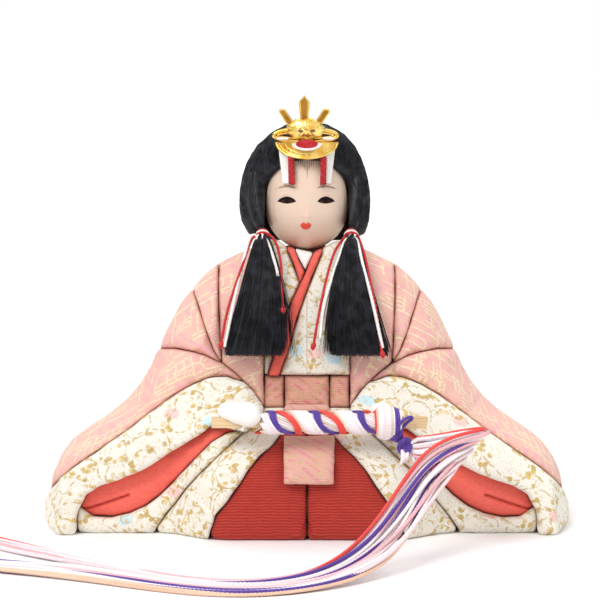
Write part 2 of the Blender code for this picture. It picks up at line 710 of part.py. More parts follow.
def cuffs():
    """The sleeve mouths: puffed band, coral lining and lower band with its end roll."""
    roll_floor = floor_line(ROLL_FLOOR_COLUMNS)
    foot_floor = floor_line(FOOT_FLOOR_COLUMNS)
    pair("cuff_band", [
        *strokes_of(CUFF_TOP, CUFF_OUTER, SKY_CUFF), (drawn(SKY_CUFF[-1:])[0], roll_floor[0]), roll_floor,
        (roll_floor[-1], drawn(CUFF_END[-1:])[0]), *strokes_of(
            CUFF_END[::-1], CUFF_INNER[::-1], CUFF_WRIST[::-1], CUFF_FLANK,
        ),
    ], "cream_brocade", lift=CUFF_LIFT)
    pair("cuff_lining", strokes_of(CUFF_INNER, LINING_LOWER), "coral_cloth", lift=LINING_SINK)
    pair("cuff_foot", [
        *strokes_of(LINING_LOWER[::-1], CUFF_END), (drawn(CUFF_END[-1:])[0], foot_floor[0]),
        foot_floor, (foot_floor[-1], drawn(STRIP_GROOVE[-1:])[0]), *strokes_of(STRIP_GROOVE[::-1]),
    ], "cream_brocade", lift=FOOT_LIFT)


def skirt():
    """The red crepe hakama and the inner robe's edge beside it."""
    strip_floor = floor_line(STRIP_FLOOR_COLUMNS)
    hakama_floor = floor_line(HAKAMA_FLOOR_COLUMNS)
    pair("robe_strip", [
        *strokes_of(STRIP_GROOVE), (drawn(STRIP_GROOVE[-1:])[0], strip_floor[0]), strip_floor,
        (strip_floor[-1], drawn(HAKAMA_EDGE[-1:])[0]), *strokes_of(
            HAKAMA_EDGE[::-1], HAKAMA_SIDE[::-1], STRIP_TOP[::-1], CUFF_WRIST,
        ),
    ], "cream_brocade", lift=STRIP_LIFT)
    pair("hakama", [
        *strokes_of(HAKAMA_EDGE), (drawn(HAKAMA_EDGE[-1:])[0], hakama_floor[0]), hakama_floor,
        (hakama_floor[-1], drawn(MIDDLE_LINE[-1:])[0]), *strokes_of(
            MIDDLE_LINE[::-1], HAKAMA_TOP[::-1], HAKAMA_SIDE,
        ),
    ], "crepe_red")


def box_strokes(left, right, top, bottom):
    """A rectangle of columns and rows, as four strokes."""
    corners = ((left, top), (left, bottom), (right, bottom), (right, top), (left, top))
    return strokes_of(*zip(corners, corners[1:]))


def chest():
    """Crossed collars, the brocade on either side of them and the belt below."""
    narrow = {"rim": NARROW_RIM, "groove": NARROW_GROOVE}
    front_piece("collar_long", strokes_of(
        LONG_COLLAR_OUTER, (LONG_COLLAR_OUTER[-1], LONG_COLLAR_INNER[-1]), LONG_COLLAR_INNER[::-1],
        LONG_COLLAR_CROSSING[::-1], LONG_COLLAR_TOP[::-1], (LONG_COLLAR_TOP[0], LONG_COLLAR_OUTER[0]),
    ), "coral_cloth", lift=NARROW_GROOVE, **narrow)
    front_piece("collar_short", strokes_of(
        SHORT_COLLAR_OUTER, LONG_COLLAR_CROSSING[::-1], SHORT_COLLAR_INNER[::-1],
        (SHORT_COLLAR_INNER[0], SHORT_COLLAR_OUTER[0]),
    ), "coral_cloth", **narrow)
    front_piece("inner_collar", strokes_of(
        SHORT_COLLAR_INNER, LONG_COLLAR_TOP[::-1], NECK_HOLLOW[::-1],
    ), "white_cloth", lift=BELT_SINK, **narrow)
    front_piece("chest_left", strokes_of(
        FRONT_EDGE_TOP, CHEST_BOTTOM_LEFT, LONG_COLLAR_INNER[::-1], SHORT_COLLAR_OUTER[::-1],
        LEFT_NECK[::-1],
    ), "cream_brocade", lift=-NARROW_GROOVE)
    right_edge = mirrored_pixels(FRONT_EDGE_TOP)
    front_piece("chest_right", strokes_of(
        LONG_COLLAR_OUTER[::-1], RIGHT_NECK[::-1], right_edge, (right_edge[-1], LONG_COLLAR_OUTER[-1]),
    ), "cream_brocade")
    fold = mirrored_pixels(((BELT_FOLD_COLUMN, 0), (BELT_SIDE_COLUMN, 0)))
    belt = (
        ("belt_fold_left", BELT_SIDE_COLUMN, BELT_FOLD_COLUMN),
        ("belt", BELT_FOLD_COLUMN, fold[0][0]),
        ("belt_fold_right", fold[0][0], fold[1][0]),
    )
    for name, left, right in belt:
        front_piece(name, box_strokes(left, right, BELT_TOP_ROW, BELT_BOTTOM_ROW), "pink_brocade",
                    lift=BELT_SINK)


def mirrored_pixels(pixels):
    return tuple((2 * MIDDLE_COLUMN - column, row) for column, row in pixels)


def sash():
    """The sash's hanging end in front of the hakama, and the roll above it."""
    outline = joined(*box_strokes(SASH_LEFT_COLUMN, SASH_RIGHT_COLUMN, SASH_TOP_ROW, SASH_BOTTOM_ROW))
    points = inner_points(outline, RIM_RADIUS)

    def shape(p):
        depth = robe_front(p[:, 0], p[:, 1])
        x, z = at_depth(p[:, 0], p[:, 1], depth)
        far = depth - SASH_CLEARANCE
        edge = distance_to_line(p[:, 0], p[:, 1], np.vstack([outline, outline[:1]]))
        near = far - LEAST_WALL - (SASH_THICKNESS - LEAST_WALL) * arc(edge / RIM_RADIUS)
        return x, z, near, far

    slab("obi_tail", outline, points, "pink_brocade", shape)
    half = (MIDDLE_COLUMN - ROLL_COLUMN) * PIXEL
    height = (FLOOR_ROW - ROLL_ROW) * PIXEL
    depth = float(robe_front(0, height)) - ROLL_CLEARANCE - ROLL_RADIUS
    _, height = at_depth(0, height, depth)
    ends = (-1.0, -0.94, -0.80, 0.0, 0.80, 0.94, 1.0)
    shares = (0.45, 0.80, 1.0, 1.0, 1.0, 0.80, 0.45)
    rings = [
        ellipse((half * at, depth, height), (0, ROLL_RADIUS * share, 0), (0, 0, ROLL_RADIUS * share),
                BALL_SIDES)
        for at, share in zip(ends, shares)
    ]
    lofted("obi_roll", rings, "pink_brocade")


def ellipse(centre, across, up, sides):
    """Points round an ellipse, from its centre and two half axes."""
    centre, across, up = (np.array(v, float) for v in (centre, across, up))
    turns = [math.tau * i / sides for i in range(sides)]
    return [centre + across * math.cos(a) + up * math.sin(a) for a in turns]


def lofted(name, rings, finish, closed=False):
    """A solid through rings of points, capped at both ends or closed on itself."""
    sides = len(rings[0])
    points = [p for ring in rings for p in ring]
    spans = [(k, k + 1) for k in range(len(rings) - 1)]
    faces = []
    if closed:
        spans.append((len(rings) - 1, 0))
    else:
        faces = [tuple(range(sides)), tuple(len(points) - sides + i for i in range(sides))]
    for k, after in spans:
        for i in range(sides):
            j = (i + 1) % sides
            faces.append((k * sides + i, k * sides + j, after * sides + j, after * sides + i))
    return solid(name, points, faces, finish)


def tube(name, rows, finish, sides=8):
    """A round solid along points (x, y, z, radius) that don't run along X."""
    rows = np.array(rows, float)
    ways = np.gradient(rows[:, :3], axis=0)
    rings = []
    for row, way in zip(rows, ways):
        way = way / np.linalg.norm(way)
        across = np.array((1.0, 0.0, 0.0)) - way[0] * way
        across /= np.linalg.norm(across)
        rings.append(ellipse(row[:3], across * row[3], np.cross(way, across) * row[3], sides))
    return lofted(name, rings, finish)


def ball(name, centre, halves, finish):
    """An ellipsoid."""
    work = bmesh.new()
    bmesh.ops.create_uvsphere(work, u_segments=BALL_SIDES, v_segments=BALL_RINGS, radius=1)
    bmesh.ops.transform(
        work, matrix=Matrix.Translation(centre) @ Matrix.Diagonal((*halves, 1)), verts=work.verts
    )
    mesh = bpy.data.meshes.new(name)
    work.to_mesh(mesh)
    work.free()
    mesh.shade_smooth()
    return place(bpy.data.objects.new(name, mesh), finish)


def block(name, low, high, finish):
    """A box between two corners."""
    (x0, y0, z0), (x1, y1, z1) = low, high
    rings = [[(x0, y0, z), (x1, y0, z), (x1, y1, z), (x0, y1, z)] for z in (z0, z1)]
    return lofted(name, rings, finish)


def plate_of(name, outline, near, far, finish):
    """A flat solid over an outline of (x, z), between two depths or functions of (x, z)."""
    def at(depth, x, z):
        return depth(x, z) if callable(depth) else depth
    rings = [[(x, at(depth, x, z), z) for x, z in outline] for depth in (near, far)]
    return lofted(name, rings, finish)


def combine(target, other, operation):
    """Joins a helper to a piece, or cuts it out, and hides the helper."""
    modifier = target.modifiers.new(other.name, "BOOLEAN")
    modifier.object = other
    modifier.operation = operation
    modifier.solver = "EXACT"
    other.hide_render = True
    other.display_type = "WIRE"
    return target


def carried(name, at, pieces):
    """Puts pieces under an empty that stands on their joint."""
    empty = bpy.data.objects.new(name, None)
    empty.location = at
    bpy.context.scene.collection.objects.link(empty)
    bpy.context.view_layer.update()
    for piece in pieces:
        piece.parent = empty
        piece.matrix_parent_inverse = empty.matrix_world.inverted()
    return empty


def core_outline(margin, bottom):
    """The core's outline from the front, as (x, z), grown by a margin all round."""
    wide, narrow = CORE_HALF_WIDTH + margin, CORE_NECK_HALF_WIDTH + margin
    shoulder, top = CORE_SHOULDER + margin, CORE_TOP + margin
    return [
        (-wide, bottom), (wide, bottom), (wide, shoulder), (narrow, top), (-narrow, top),
        (-wide, shoulder),
    ]


def body():
    """The composite core with its neck hole, the card under it, and the robe behind."""
    front = SEAM_DEPTH + CLOTH_GAP / 2
    floor = CARD_THICKNESS + CLOTH_GAP
    core = plate_of("body_core", core_outline(0, floor), front, CORE_BACK_DEPTH, "composite")
    bore = lofted("neck_bore", [
        ellipse((0, NECK_DEPTH, z), (PEG_RADIUS + PEG_CLEARANCE, 0, 0),
                (0, PEG_RADIUS + PEG_CLEARANCE, 0), KNOT_SIDES)
        for z in (PEG_BOTTOM - PEG_CLEARANCE, CORE_TOP + PEG_RADIUS)
    ], "composite")
    combine(core, bore, "DIFFERENCE")
    card_half = CORE_HALF_WIDTH - CARD_MARGIN
    block("base_paper", (-card_half, front + CARD_MARGIN, 0),
          (card_half, CORE_BACK_DEPTH - CARD_MARGIN, CARD_THICKNESS), "card")

    skyline = [on_robe(*p) for p in SKYLINE]
    edge_top = height_on(skyline, -BACK_HALF_WIDTH)
    wing = [p for p in skyline if p[0] < -BACK_HALF_WIDTH - CLOTH_GAP and p[1] > LEAST_WALL]
    tip = min(p[0] for p in wing)
    outline = [
        (-BACK_HALF_WIDTH, 0), (-BACK_HALF_WIDTH, edge_top), *wing, (tip, 0),
    ]
    for name, mirrored in (("sleeve_back_left", False), ("sleeve_back_right", True)):
        back_piece(name, [outline[:2], outline[1:-1], outline[-2:], (outline[-1], outline[0])],
                   "pink_brocade", mirrored)
    top = min(edge_top, BACK_TOP)
    sides = BACK_HALF_WIDTH
    corners = [(-sides, 0), (sides, 0), (sides, top), (-sides, top), (-sides, 0)]
    back = back_piece("back_robe", list(zip(corners, corners[1:])), "pink_brocade", False)
    pocket = plate_of("core_pocket", core_outline(CLOTH_GAP, -CORE_HALF_WIDTH),
                      front - CORE_HALF_WIDTH, CORE_BACK_DEPTH + CLOTH_GAP, "composite")
    combine(back, pocket, "DIFFERENCE")
    opening = collar_shape("collar_pocket", 0, COLLAR_OUTER_RADIUS + CLOTH_GAP, CORE_TOP,
                           BACK_TOP + CORE_TOP, SEAM_DEPTH - COLLAR_OUTER_RADIUS)
    combine(back, opening, "DIFFERENCE")
    collar_shape("back_collar", COLLAR_INNER_RADIUS, COLLAR_OUTER_RADIUS, CORE_TOP + CLOTH_GAP,
                 COLLAR_TOP, SEAM_DEPTH + CLOTH_GAP / 2)
    return core


def height_on(line, x):
    """Height of a line of (x, z) points at x."""
    line = sorted((float(a), float(b)) for a, b in line)
    return float(np.interp(x, [p[0] for p in line], [p[1] for p in line]))


def back_piece(name, strokes, finish, mirrored):
    """A puffed cloth panel behind the seam plane; its strokes are in world (x, z)."""
    outline = inset(joined(*strokes), CLOTH_GAP / 2)
    outline[:, 1] = np.maximum(outline[:, 1], 0)
    outline[:, 1] = np.where(outline[:, 1] < CLOTH_GAP, 0, outline[:, 1])
    points = inner_points(outline, RIM_RADIUS)
    near = SEAM_DEPTH + CLOTH_GAP / 2

    def shape(p):
        edge = distance_to_line(p[:, 0], p[:, 1], np.vstack([outline, outline[:1]]))
        far = robe_back(p[:, 0], p[:, 1]) - GROOVE_DEPTH * (1 - arc(edge / RIM_RADIUS))
        return p[:, 0], p[:, 1], np.full(len(p), near), np.maximum(far, near + LEAST_WALL)

    return slab(name, outline, points, finish, shape, mirrored, "near")


def collar_shape(name, inner, outer, bottom, top, front):
    """A U round the neck, open to the front; a full block where the inner radius is 0."""
    turns = [math.pi * i / BALL_SIDES for i in range(BALL_SIDES + 1)]
    outline = [(outer * math.cos(a), NECK_DEPTH + outer * math.sin(a)) for a in turns]
    outline.append((-outer, front))
    if inner:
        outline.append((-inner, front))
        outline += [(inner * math.cos(a), NECK_DEPTH + inner * math.sin(a)) for a in turns[::-1]]
        outline.append((inner, front))
    outline.append((outer, front))
    return lofted(name, [[(x, y, z) for x, y in outline] for z in (bottom, top)], "coral_cloth")


def face_relief(x, z):
    """How far the face stands forward of the plain egg at (x, z)."""
    drop = HEAD_CENTRE_HEIGHT - z

    def bump(across, down, wide, tall):
        return math.exp(-((x - across) / wide) ** 2 - ((drop - down) / tall) ** 2)
    tall = NOSE_SPREAD if drop > NOSE_DROP else NOSE_BRIDGE_SPREAD
    relief = NOSE_HEIGHT * bump(0, NOSE_DROP, NOSE_SPREAD, tall)
    relief += LIP_HEIGHT * bump(0, LIP_DROP, NOSE_SPREAD, LIP_SPREAD)
    relief += CHIN_HEIGHT * bump(0, CHIN_DROP, CHIN_SPREAD, CHIN_SPREAD)
    for side in (-1, 1):
        relief -= EYE_HOLLOW * bump(side * EYE_SPACING, BROW_DROP, EYE_SPREAD, EYE_SPREAD)
    return relief


def head_shape():
    """The egg-shaped head, with a little more detail towards the face."""
    centre = HEAD_CENTRE_HEIGHT
    points = [(0, HEAD_DEPTH, centre - HEAD_LOWER)]
    for k in range(1, HEAD_RINGS):
        rise = math.pi * (k / HEAD_RINGS - 0.5)
        tall = HEAD_UPPER if rise > 0 else HEAD_LOWER
        for i in range(HEAD_SIDES):
            t = 2 * i / HEAD_SIDES - 1
            turn = math.pi * t * (HEAD_FRONT_SHARE + (1 - HEAD_FRONT_SHARE) * t * t)
            forward = math.cos(rise) * math.cos(turn)
            x = HEAD_HALF_WIDTH * math.cos(rise) * math.sin(turn)
            z = centre + tall * math.sin(rise)
            reach = HEAD_FRONT if forward > 0 else HEAD_BACK
            relief = face_relief(x, z) * float(ease(forward * 2))
            points.append((x, HEAD_DEPTH - reach * forward - relief, z))
    points.append((0, HEAD_DEPTH, centre + HEAD_UPPER))
    faces = []
    last = len(points) - 1
    top = last - HEAD_SIDES
    for i in range(HEAD_SIDES):
        j = (i + 1) % HEAD_SIDES
        faces.append((0, 1 + j, 1 + i))
        faces.append((last, top + i, top + j))
        for k in range(HEAD_RINGS - 2):
            low, high = 1 + k * HEAD_SIDES, 1 + (k + 1) * HEAD_SIDES
            faces.append((low + i, low + j, high + j, high + i))
    return solid("head", points, faces, "face_white")


def head_radius(angle):
    """The head's radius in the front view, at an angle above the horizontal in degrees."""
    tall = HEAD_UPPER if angle > 0 else HEAD_LOWER
    a = math.radians(angle)
    return 1 / math.hypot(math.cos(a) / HEAD_HALF_WIDTH, math.sin(a) / tall)


def hair_point(turn, behind, share):
    """A point of the hair, on the head at share 0 and at full width at share 1."""
    angle = math.degrees(math.asin(math.sin(math.radians(turn))))
    inner = head_radius(angle) + HAIR_GAP
    radius = inner + (HEAD_UPPER * float(curve_value(HAIR_RADIUS_SHARES, angle)) - inner) * share
    reach = HEAD_BACK if behind > 0 else HEAD_FRONT
    full = HAIR_BACK if behind > 0 else HAIR_FRONT
    depth = reach + HAIR_GAP + (full - reach - HAIR_GAP) * share
    back = math.radians(behind)
    return (
        radius * math.cos(back) * math.cos(math.radians(turn)),
        HEAD_DEPTH + depth * math.sin(back),
        HEAD_CENTRE_HEIGHT + radius * math.cos(back) * math.sin(math.radians(turn)),
    )


def hair_share(turn, behind):
    """How full the hair is, rising from its edge."""
    angle = math.degrees(math.asin(math.sin(math.radians(turn))))
    edge = float(curve_value(HAIRLINE_DEGREES, angle))
    risen = math.sin(math.radians(90 * min(1, max(0, (behind - edge) / HAIR_EASE_DEGREES))))
    return edge, HAIR_EDGE_SHARE + (1 - HAIR_EDGE_SHARE) * risen


def hair_shape():
    """Hair drawn back over the head from its front edge, with a lock down to each tie."""
    outer, inner = [], []
    for i in range(HAIR_SIDES):
        turn = 360 * i / HAIR_SIDES
        edge, _ = hair_share(turn, 0)
        for k in range(HAIR_RINGS):
            t = k / HAIR_RINGS
            behind = edge + (90 - edge) * t
            outer.append(hair_point(turn, behind, hair_share(turn, behind)[1]))
            inner.append(hair_point(turn, behind, 0))
    points = [*outer, hair_point(0, 90, 1), *inner, hair_point(0, 90, 0)]
    skip = len(outer) + 1
    faces = []
    for i in range(HAIR_SIDES):
        a, b = i * HAIR_RINGS, (i + 1) % HAIR_SIDES * HAIR_RINGS
        for k in range(HAIR_RINGS - 1):
            faces.append((a + k, b + k, b + k + 1, a + k + 1))
            faces.append((skip + a + k, skip + a + k + 1, skip + b + k + 1, skip + b + k))
        end = HAIR_RINGS - 1
        faces.append((a + end, b + end, skip - 1))
        faces.append((skip + b + end, skip + a + end, 2 * skip - 1))
        faces.append((b, a, skip + a, skip + b))
    hair = solid("hair", points, faces, "hair_black")
    for side, word in ((-1, "left"), (1, "right")):
        rows = smooth_run(LOCK_ROWS, CORD_POINT_STEP)
        lock = tube(f"lock_{word}", [(side * x, y, z, r) for x, y, z, r in rows], "hair_black")
        combine(hair, lock, "UNION")
    return hair


def head_front(x, z):
    """Depth of the frontmost surface of head or hair at the world point (x, z)."""
    up = z - HEAD_CENTRE_HEIGHT
    turn = math.degrees(math.atan2(up, x))
    radius = math.hypot(x, up)
    angle = math.degrees(math.asin(math.sin(math.radians(turn))))
    inside_share = min(1.0, radius / head_radius(angle))
    found = HEAD_DEPTH - HEAD_FRONT * math.sqrt(1 - inside_share ** 2)
    edge, fullness = hair_share(turn, -90)
    rim = hair_point(turn, edge, 0)
    if radius < math.hypot(rim[0], rim[2] - HEAD_CENTRE_HEIGHT):
        return found
    for step in range(HAIR_STEPS + 1):
        behind = edge - edge * step / HAIR_STEPS
        px, py, pz = hair_point(turn, behind, hair_share(turn, behind)[1])
        if math.hypot(px, pz - HEAD_CENTRE_HEIGHT) >= radius:
            return min(found, py)
    return found


def front_near(x, z):
    """The frontmost depth of head or hair close round a point."""
    return min(head_front(x + a * NEAR_STEP, z + b * NEAR_STEP) for a in (-1, 0, 1) for b in (-1, 0, 1))


def tail_at(t):
    """A tail's column, row, depth, half width and half depth at a share of its length."""
    rows = np.array(TAIL_PATH_SHARES)
    side, forward, wide = (float(curve_value(rows[:, (0, k)], t)) for k in (1, 2, 3))
    column = TIE_COLUMN - side * TAIL_SIDE_SWING / PIXEL
    row = TIE_ROW + (TAIL_BOTTOM_ROW - TIE_ROW) * t
    depth = TIE_DEPTH - TAIL_FORWARD_SWING * forward
    return column, row, depth, TAIL_TOP_HALF_WIDTH * wide, TAIL_TOP_HALF_DEPTH * (1 + TAIL_DEPTH_GROWTH * t)


def seen_at(column, row, depth):
    """The world point seen at a column and row, at a depth."""
    (x, z), = drawn([(column, row)])
    x, z = at_depth(x, z, depth)
    return x, depth, z


def tail_frame(t):
    """The left tail's centre, the way it runs and the way off its back, at a share of its length."""
    step = 1 / (TAIL_RINGS * TAIL_RINGS)
    before, after = (np.array(seen_at(*tail_at(at)[:3])) for at in (max(0, t - step), min(1, t + step)))
    way = (after - before) / np.linalg.norm(after - before)
    off = np.array((0.0, -way[2], way[1])) / math.hypot(way[1], way[2])
    return np.array(seen_at(*tail_at(t)[:3])), way, off


def sided(points, side):
    """Points turned to the other side of the middle where side is -1."""
    return [(side * p[0], *p[1:]) for p in points]


def tails(mirrored):
    """A flared tail of hair, its tie and the tie's hanging cords."""
    word, side = ("right", -1) if mirrored else ("left", 1)
    rings = []
    for k in range(TAIL_RINGS):
        t = k / (TAIL_RINGS - 1)
        centre, _, off = tail_frame(t)
        half_width, half_depth = tail_at(t)[3:]
        rings.append(sided(ellipse(centre, (half_width, 0, 0), off * half_depth, TAIL_SIDES), side))
    tail = lofted(f"hair_tail_{word}", rings, "hair_black")

    top, way, off = tail_frame(0)
    wide = tail_at(0)[3] * (1 + TAIL_DEPTH_GROWTH / 4) + CLOTH_GAP
    deep = tail_at(0)[4] + CLOTH_GAP
    hoop = []
    for grow, drop in ((0, 0), (1, 0), (1, 1), (0, 1)):
        centre = top + way * (TIE_RING_DROP + TIE_RING_HEIGHT * drop)
        extra = TIE_RING_THICKNESS * grow
        ring = ellipse(centre, (wide + extra, 0, 0), off * (deep + extra), TAIL_SIDES)
        hoop.append(sided(ring, side))
    tie = lofted(f"hair_tie_{word}", hoop, "tuft_red", closed=True)
    for path, kind, lean in ((TIE_OUTER_CORD, "outer", -1), (TIE_INNER_CORD, "inner", 1)):
        start = top + way * (TIE_RING_DROP + TIE_RING_HEIGHT / 2) - off * (deep + TIE_RING_THICKNESS / 2)
        rows = [(start[0] + lean * TIE_CORD_START, start[1], start[2])]
        for column, row in path:
            t = (row - TIE_ROW) / (TAIL_BOTTOM_ROW - TIE_ROW)
            centre, _, off_here = tail_frame(t)
            stop = tail_at(t)
            point = centre - off_here * (stop[4] + TIE_CORD_RADIUS + 2 * CLOTH_GAP)
            rows.append((seen_at(column, row, stop[2])[0], point[1], point[2]))
        rows = [(*p, TIE_CORD_RADIUS) for p in smooth_run(rows, CORD_POINT_STEP)]
        cord = tube(f"tie_cord_{kind}_{word}", sided(rows, side), "tuft_red")
        combine(tie, cord, "UNION")
    return tail, tie, (side * top[0], top[1], top[2])


def crown():
    """The gilt half-moon plate, the crest above it, the tuft and the two ribbons."""
    top = (FLOOR_ROW - PLATE_TOP_ROW) * PIXEL
    bottom = (FLOOR_ROW - PLATE_BOTTOM_ROW) * PIXEL
    guess = HEAD_DEPTH - HEAD_FRONT
    _, top = at_depth(0, top, guess)
    _, bottom = at_depth(0, bottom, guess)
    outline = []
    for i in range(PLATE_SIDES + 1):
        a = math.pi * i / PLATE_SIDES
        outline.append((PLATE_HALF_WIDTH * math.cos(a), top - (top - bottom) * math.sin(a)))

    def bend(x, z):
        lean = PLATE_LEAN * (z - bottom) / (top - bottom)
        return PLATE_WRAP * (x / PLATE_HALF_WIDTH) ** 2 + lean
    back = min(
        front_near(x * share, z) - PLATE_SEATING - bend(x * share, z)
        for x, z in outline for share in (1.0, 0.7, 0.4)
    )
    plate = plate_grid("crown_plate", outline, top, back, bend, PLATE_ROWS)

    crest_height = (FLOOR_ROW - CREST_RING_ROW) * PIXEL
    boss_height = (FLOOR_ROW - BOSS_ROW) * PIXEL
    _, boss_z = at_depth(0, boss_height, guess)
    _, ring_z = at_depth(0, crest_height, guess)
    rests = [
        head_front(0, boss_z + BOSS_HALF_HEIGHT * share) - BOSS_HALF_DEPTH * math.sqrt(1 - share ** 2)
        for share in (-0.9, -0.7, -0.4, 0.0)
    ]
    rests += [
        head_front(CREST_RING_HALF_WIDTH * share, ring_z - CREST_RING_HALF_HEIGHT - CREST_WIRE) - CREST_WIRE
        for share in (0.0, 0.3, 0.6)
    ]
    depth = min(rests) - CREST_SEATING
    crest = ball("crown_crest", (0, depth, boss_z), (BOSS_HALF_WIDTH, BOSS_HALF_DEPTH, BOSS_HALF_HEIGHT), "gilt")
    wires = []
    for i in range(2 * PLATE_SIDES):
        a = math.tau * i / (2 * PLATE_SIDES)
        out = np.array((math.cos(a) * CREST_RING_HALF_HEIGHT, 0.0, math.sin(a) * CREST_RING_HALF_WIDTH))
        out /= np.linalg.norm(out)
        centre = (CREST_RING_HALF_WIDTH * math.cos(a), depth, ring_z + CREST_RING_HALF_HEIGHT * math.sin(a))
        wires.append(ellipse(centre, out * CREST_WIRE, (0, CREST_WIRE, 0), 6))
    combine(crest, lofted("crest_ring", wires, "gilt", closed=True), "UNION")
    for name, pixels in (
        ("prong_middle", PRONG_OUTLINE), ("prong_right", SIDE_PRONG_OUTLINE),
        ("prong_left", mirrored_about(SIDE_PRONG_OUTLINE)),
    ):
        shape = [seen_at(column, row, depth) for column, row in pixels]
        prong = plate_of(name, [(x, z) for x, _, z in shape], depth - PRONG_THICKNESS / 2,
                         depth + PRONG_THICKNESS / 2, "gilt")
        combine(crest, prong, "UNION")

    tuft_height = (FLOOR_ROW - TUFT_ROW) * PIXEL
    _, tuft_z = at_depth(0, tuft_height, back)
    tuft_depth = back + bend(0, tuft_z) - PLATE_THICKNESS - CLOTH_GAP - TUFT_HALF_DEPTH
    tuft = ball("crown_tuft", (0, tuft_depth, tuft_z), (TUFT_HALF_WIDTH, TUFT_HALF_DEPTH, TUFT_HALF_HEIGHT),
                "tuft_red")
    ribbons = [ribbon("left", 1), ribbon("right", -1)]
    return [plate, crest, tuft, *ribbons]


def plate_grid(name, outline, top, back, bend, rows):
    """A thin bent plate over the half-moon between its straight top and its round bottom."""
    count = len(outline)
    sheet = []
    for k in range(1, rows + 1):
        share = k / rows
        sheet += [(x, top + (z - top) * share) for x, z in outline[1:-1]]
    points = [outline[0], outline[-1]]
    top_edge = [(x, top) for x, z in outline[1:-1]]
    flat = [*points, *top_edge, *sheet]
    near = [(x, back - PLATE_THICKNESS + bend(x, z), z) for x, z in flat]
    far = [(x, back + bend(x, z), z) for x, z in flat]
    width = count - 2
    size = len(flat)
    faces = []
    border = []
    for k in range(rows):
        a, b = 2 + k * width, 2 + (k + 1) * width
        faces.append((0, a, b))
        faces.append((1, b + width - 1, a + width - 1))
        faces += [(a + i, a + i + 1, b + i + 1, b + i) for i in range(width - 1)]
    border = [0, *range(2, 2 + width), 1, *range(2 + (rows + 1) * width - 1, 1 + rows * width, -1)]
    both = [tuple(f) for f in faces] + [tuple(size + i for i in reversed(f)) for f in faces]
    walls = [(i, j, size + j, size + i) for i, j in zip(border, [*border[1:], border[0]])]
    return solid(name, [*near, *far], both + walls, "gilt")


def mirrored_about(pixels):
    """The side prong's mirror image about the middle prong."""
    middle = PRONG_OUTLINE[0][0]
    return tuple((2 * middle - column, row) for column, row in pixels)


def ribbon(word, side):
    """A flat ribbon from under the plate down over the hairline."""
    rings = []
    for k in range(RIBBON_STEPS + 1):
        share = k / RIBBON_STEPS
        row = RIBBON_TOP_ROW + (RIBBON_BOTTOM_ROW - RIBBON_TOP_ROW) * share
        edges = [a + (b - a) * share for a, b in zip(RIBBON_TOP, RIBBON_BOTTOM)]
        near, far = [], []
        for t in (0.0, 0.5, 1.0):
            column = edges[0] + (edges[1] - edges[0]) * t
            x, _, z = seen_at(column, row, HEAD_DEPTH - HEAD_FRONT)
            depth = front_near(x, z) - RIBBON_SEATING
            far.append((side * x, depth, z))
            near.append((side * x, depth - RIBBON_THICKNESS, z))
        rings.append([*near, *far[::-1]])
    return lofted(f"crown_ribbon_{word}", rings, "cord_white")


def fan():
    """The closed fan, the cord wound round it and the knot at its right."""
    height = at_depth(0, (FLOOR_ROW - FAN_ROW) * PIXEL, FAN_DEPTH)[1]
    rings = []
    for column, half in FAN_ROWS:
        x = seen_at(column, FAN_ROW, FAN_DEPTH)[0]
        flat, deep = half - FAN_EDGE, FAN_HALF_THICKNESS - FAN_EDGE
        section = [
            (FAN_HALF_THICKNESS, flat), (deep, half), (-deep, half), (-FAN_HALF_THICKNESS, flat),
            (-FAN_HALF_THICKNESS, -flat), (-deep, -half), (deep, -half), (FAN_HALF_THICKNESS, -flat),
        ]
        rings.append([(x, FAN_DEPTH + y, height + z) for y, z in section])
    sticks = lofted("fan_sticks", rings, "wood")

    start = seen_at(WINDING_LEFT_COLUMN, FAN_ROW, FAN_DEPTH)[0]
    strands = []
    for index, colour in enumerate(STRAND_COLOURS):
        first = start + STRAND_RADIUS + index * WINDING_PITCH * WINDING_SHARE / len(STRAND_COLOURS)
        count = round(LOOP_POINTS * WINDING_TURNS)
        points = []
        for k in range(count + 1):
            turn = math.tau * k / LOOP_POINTS
            points.append((
                first + WINDING_PITCH * k / LOOP_POINTS,
                FAN_DEPTH - WINDING_RADIUS * math.cos(turn),
                height - WINDING_RADIUS * math.sin(turn),
            ))
        name = f"winding_{colour.split('_')[1]}"
        strands.append(round_cord(name, points, STRAND_RADIUS, colour, 1))
        placed = np.array(points)
        apart = [
            np.linalg.norm(placed[LOOP_POINTS // 2 + k:] - placed[k], axis=1).min()
            for k in range(len(placed) - LOOP_POINTS // 2)
        ]
        print(name, "least self-gap mm", round(1000 * (min(apart) - 2 * STRAND_RADIUS), 2))

    profile = [(seen_at(column, FAN_ROW, FAN_DEPTH)[0], radius) for column, radius in KNOT_ROWS]
    profile += [(profile[-1][0], KNOT_BORE_RADIUS), (profile[0][0], KNOT_BORE_RADIUS)]
    knot = lofted("fan_knot", [
        ellipse((x, FAN_DEPTH, height), (0, radius, 0), (0, 0, radius), KNOT_SIDES)
        for x, radius in profile
    ], "cord_purple", closed=True)
    lump = ball("knot_lump", LUMP_CENTRE, LUMP_HALVES, "cord_purple")
    way = lofted("knot_way", [
        ellipse((x, FAN_DEPTH, height), (0, KNOT_BORE_RADIUS, 0), (0, 0, KNOT_BORE_RADIUS), KNOT_SIDES)
        for x in (0, 2 * LUMP_CENTRE[0])
    ], "cord_purple")
    combine(knot, lump, "UNION")
    combine(knot, way, "DIFFERENCE")
    return [sticks, *strands, knot], (0, FAN_DEPTH, height)


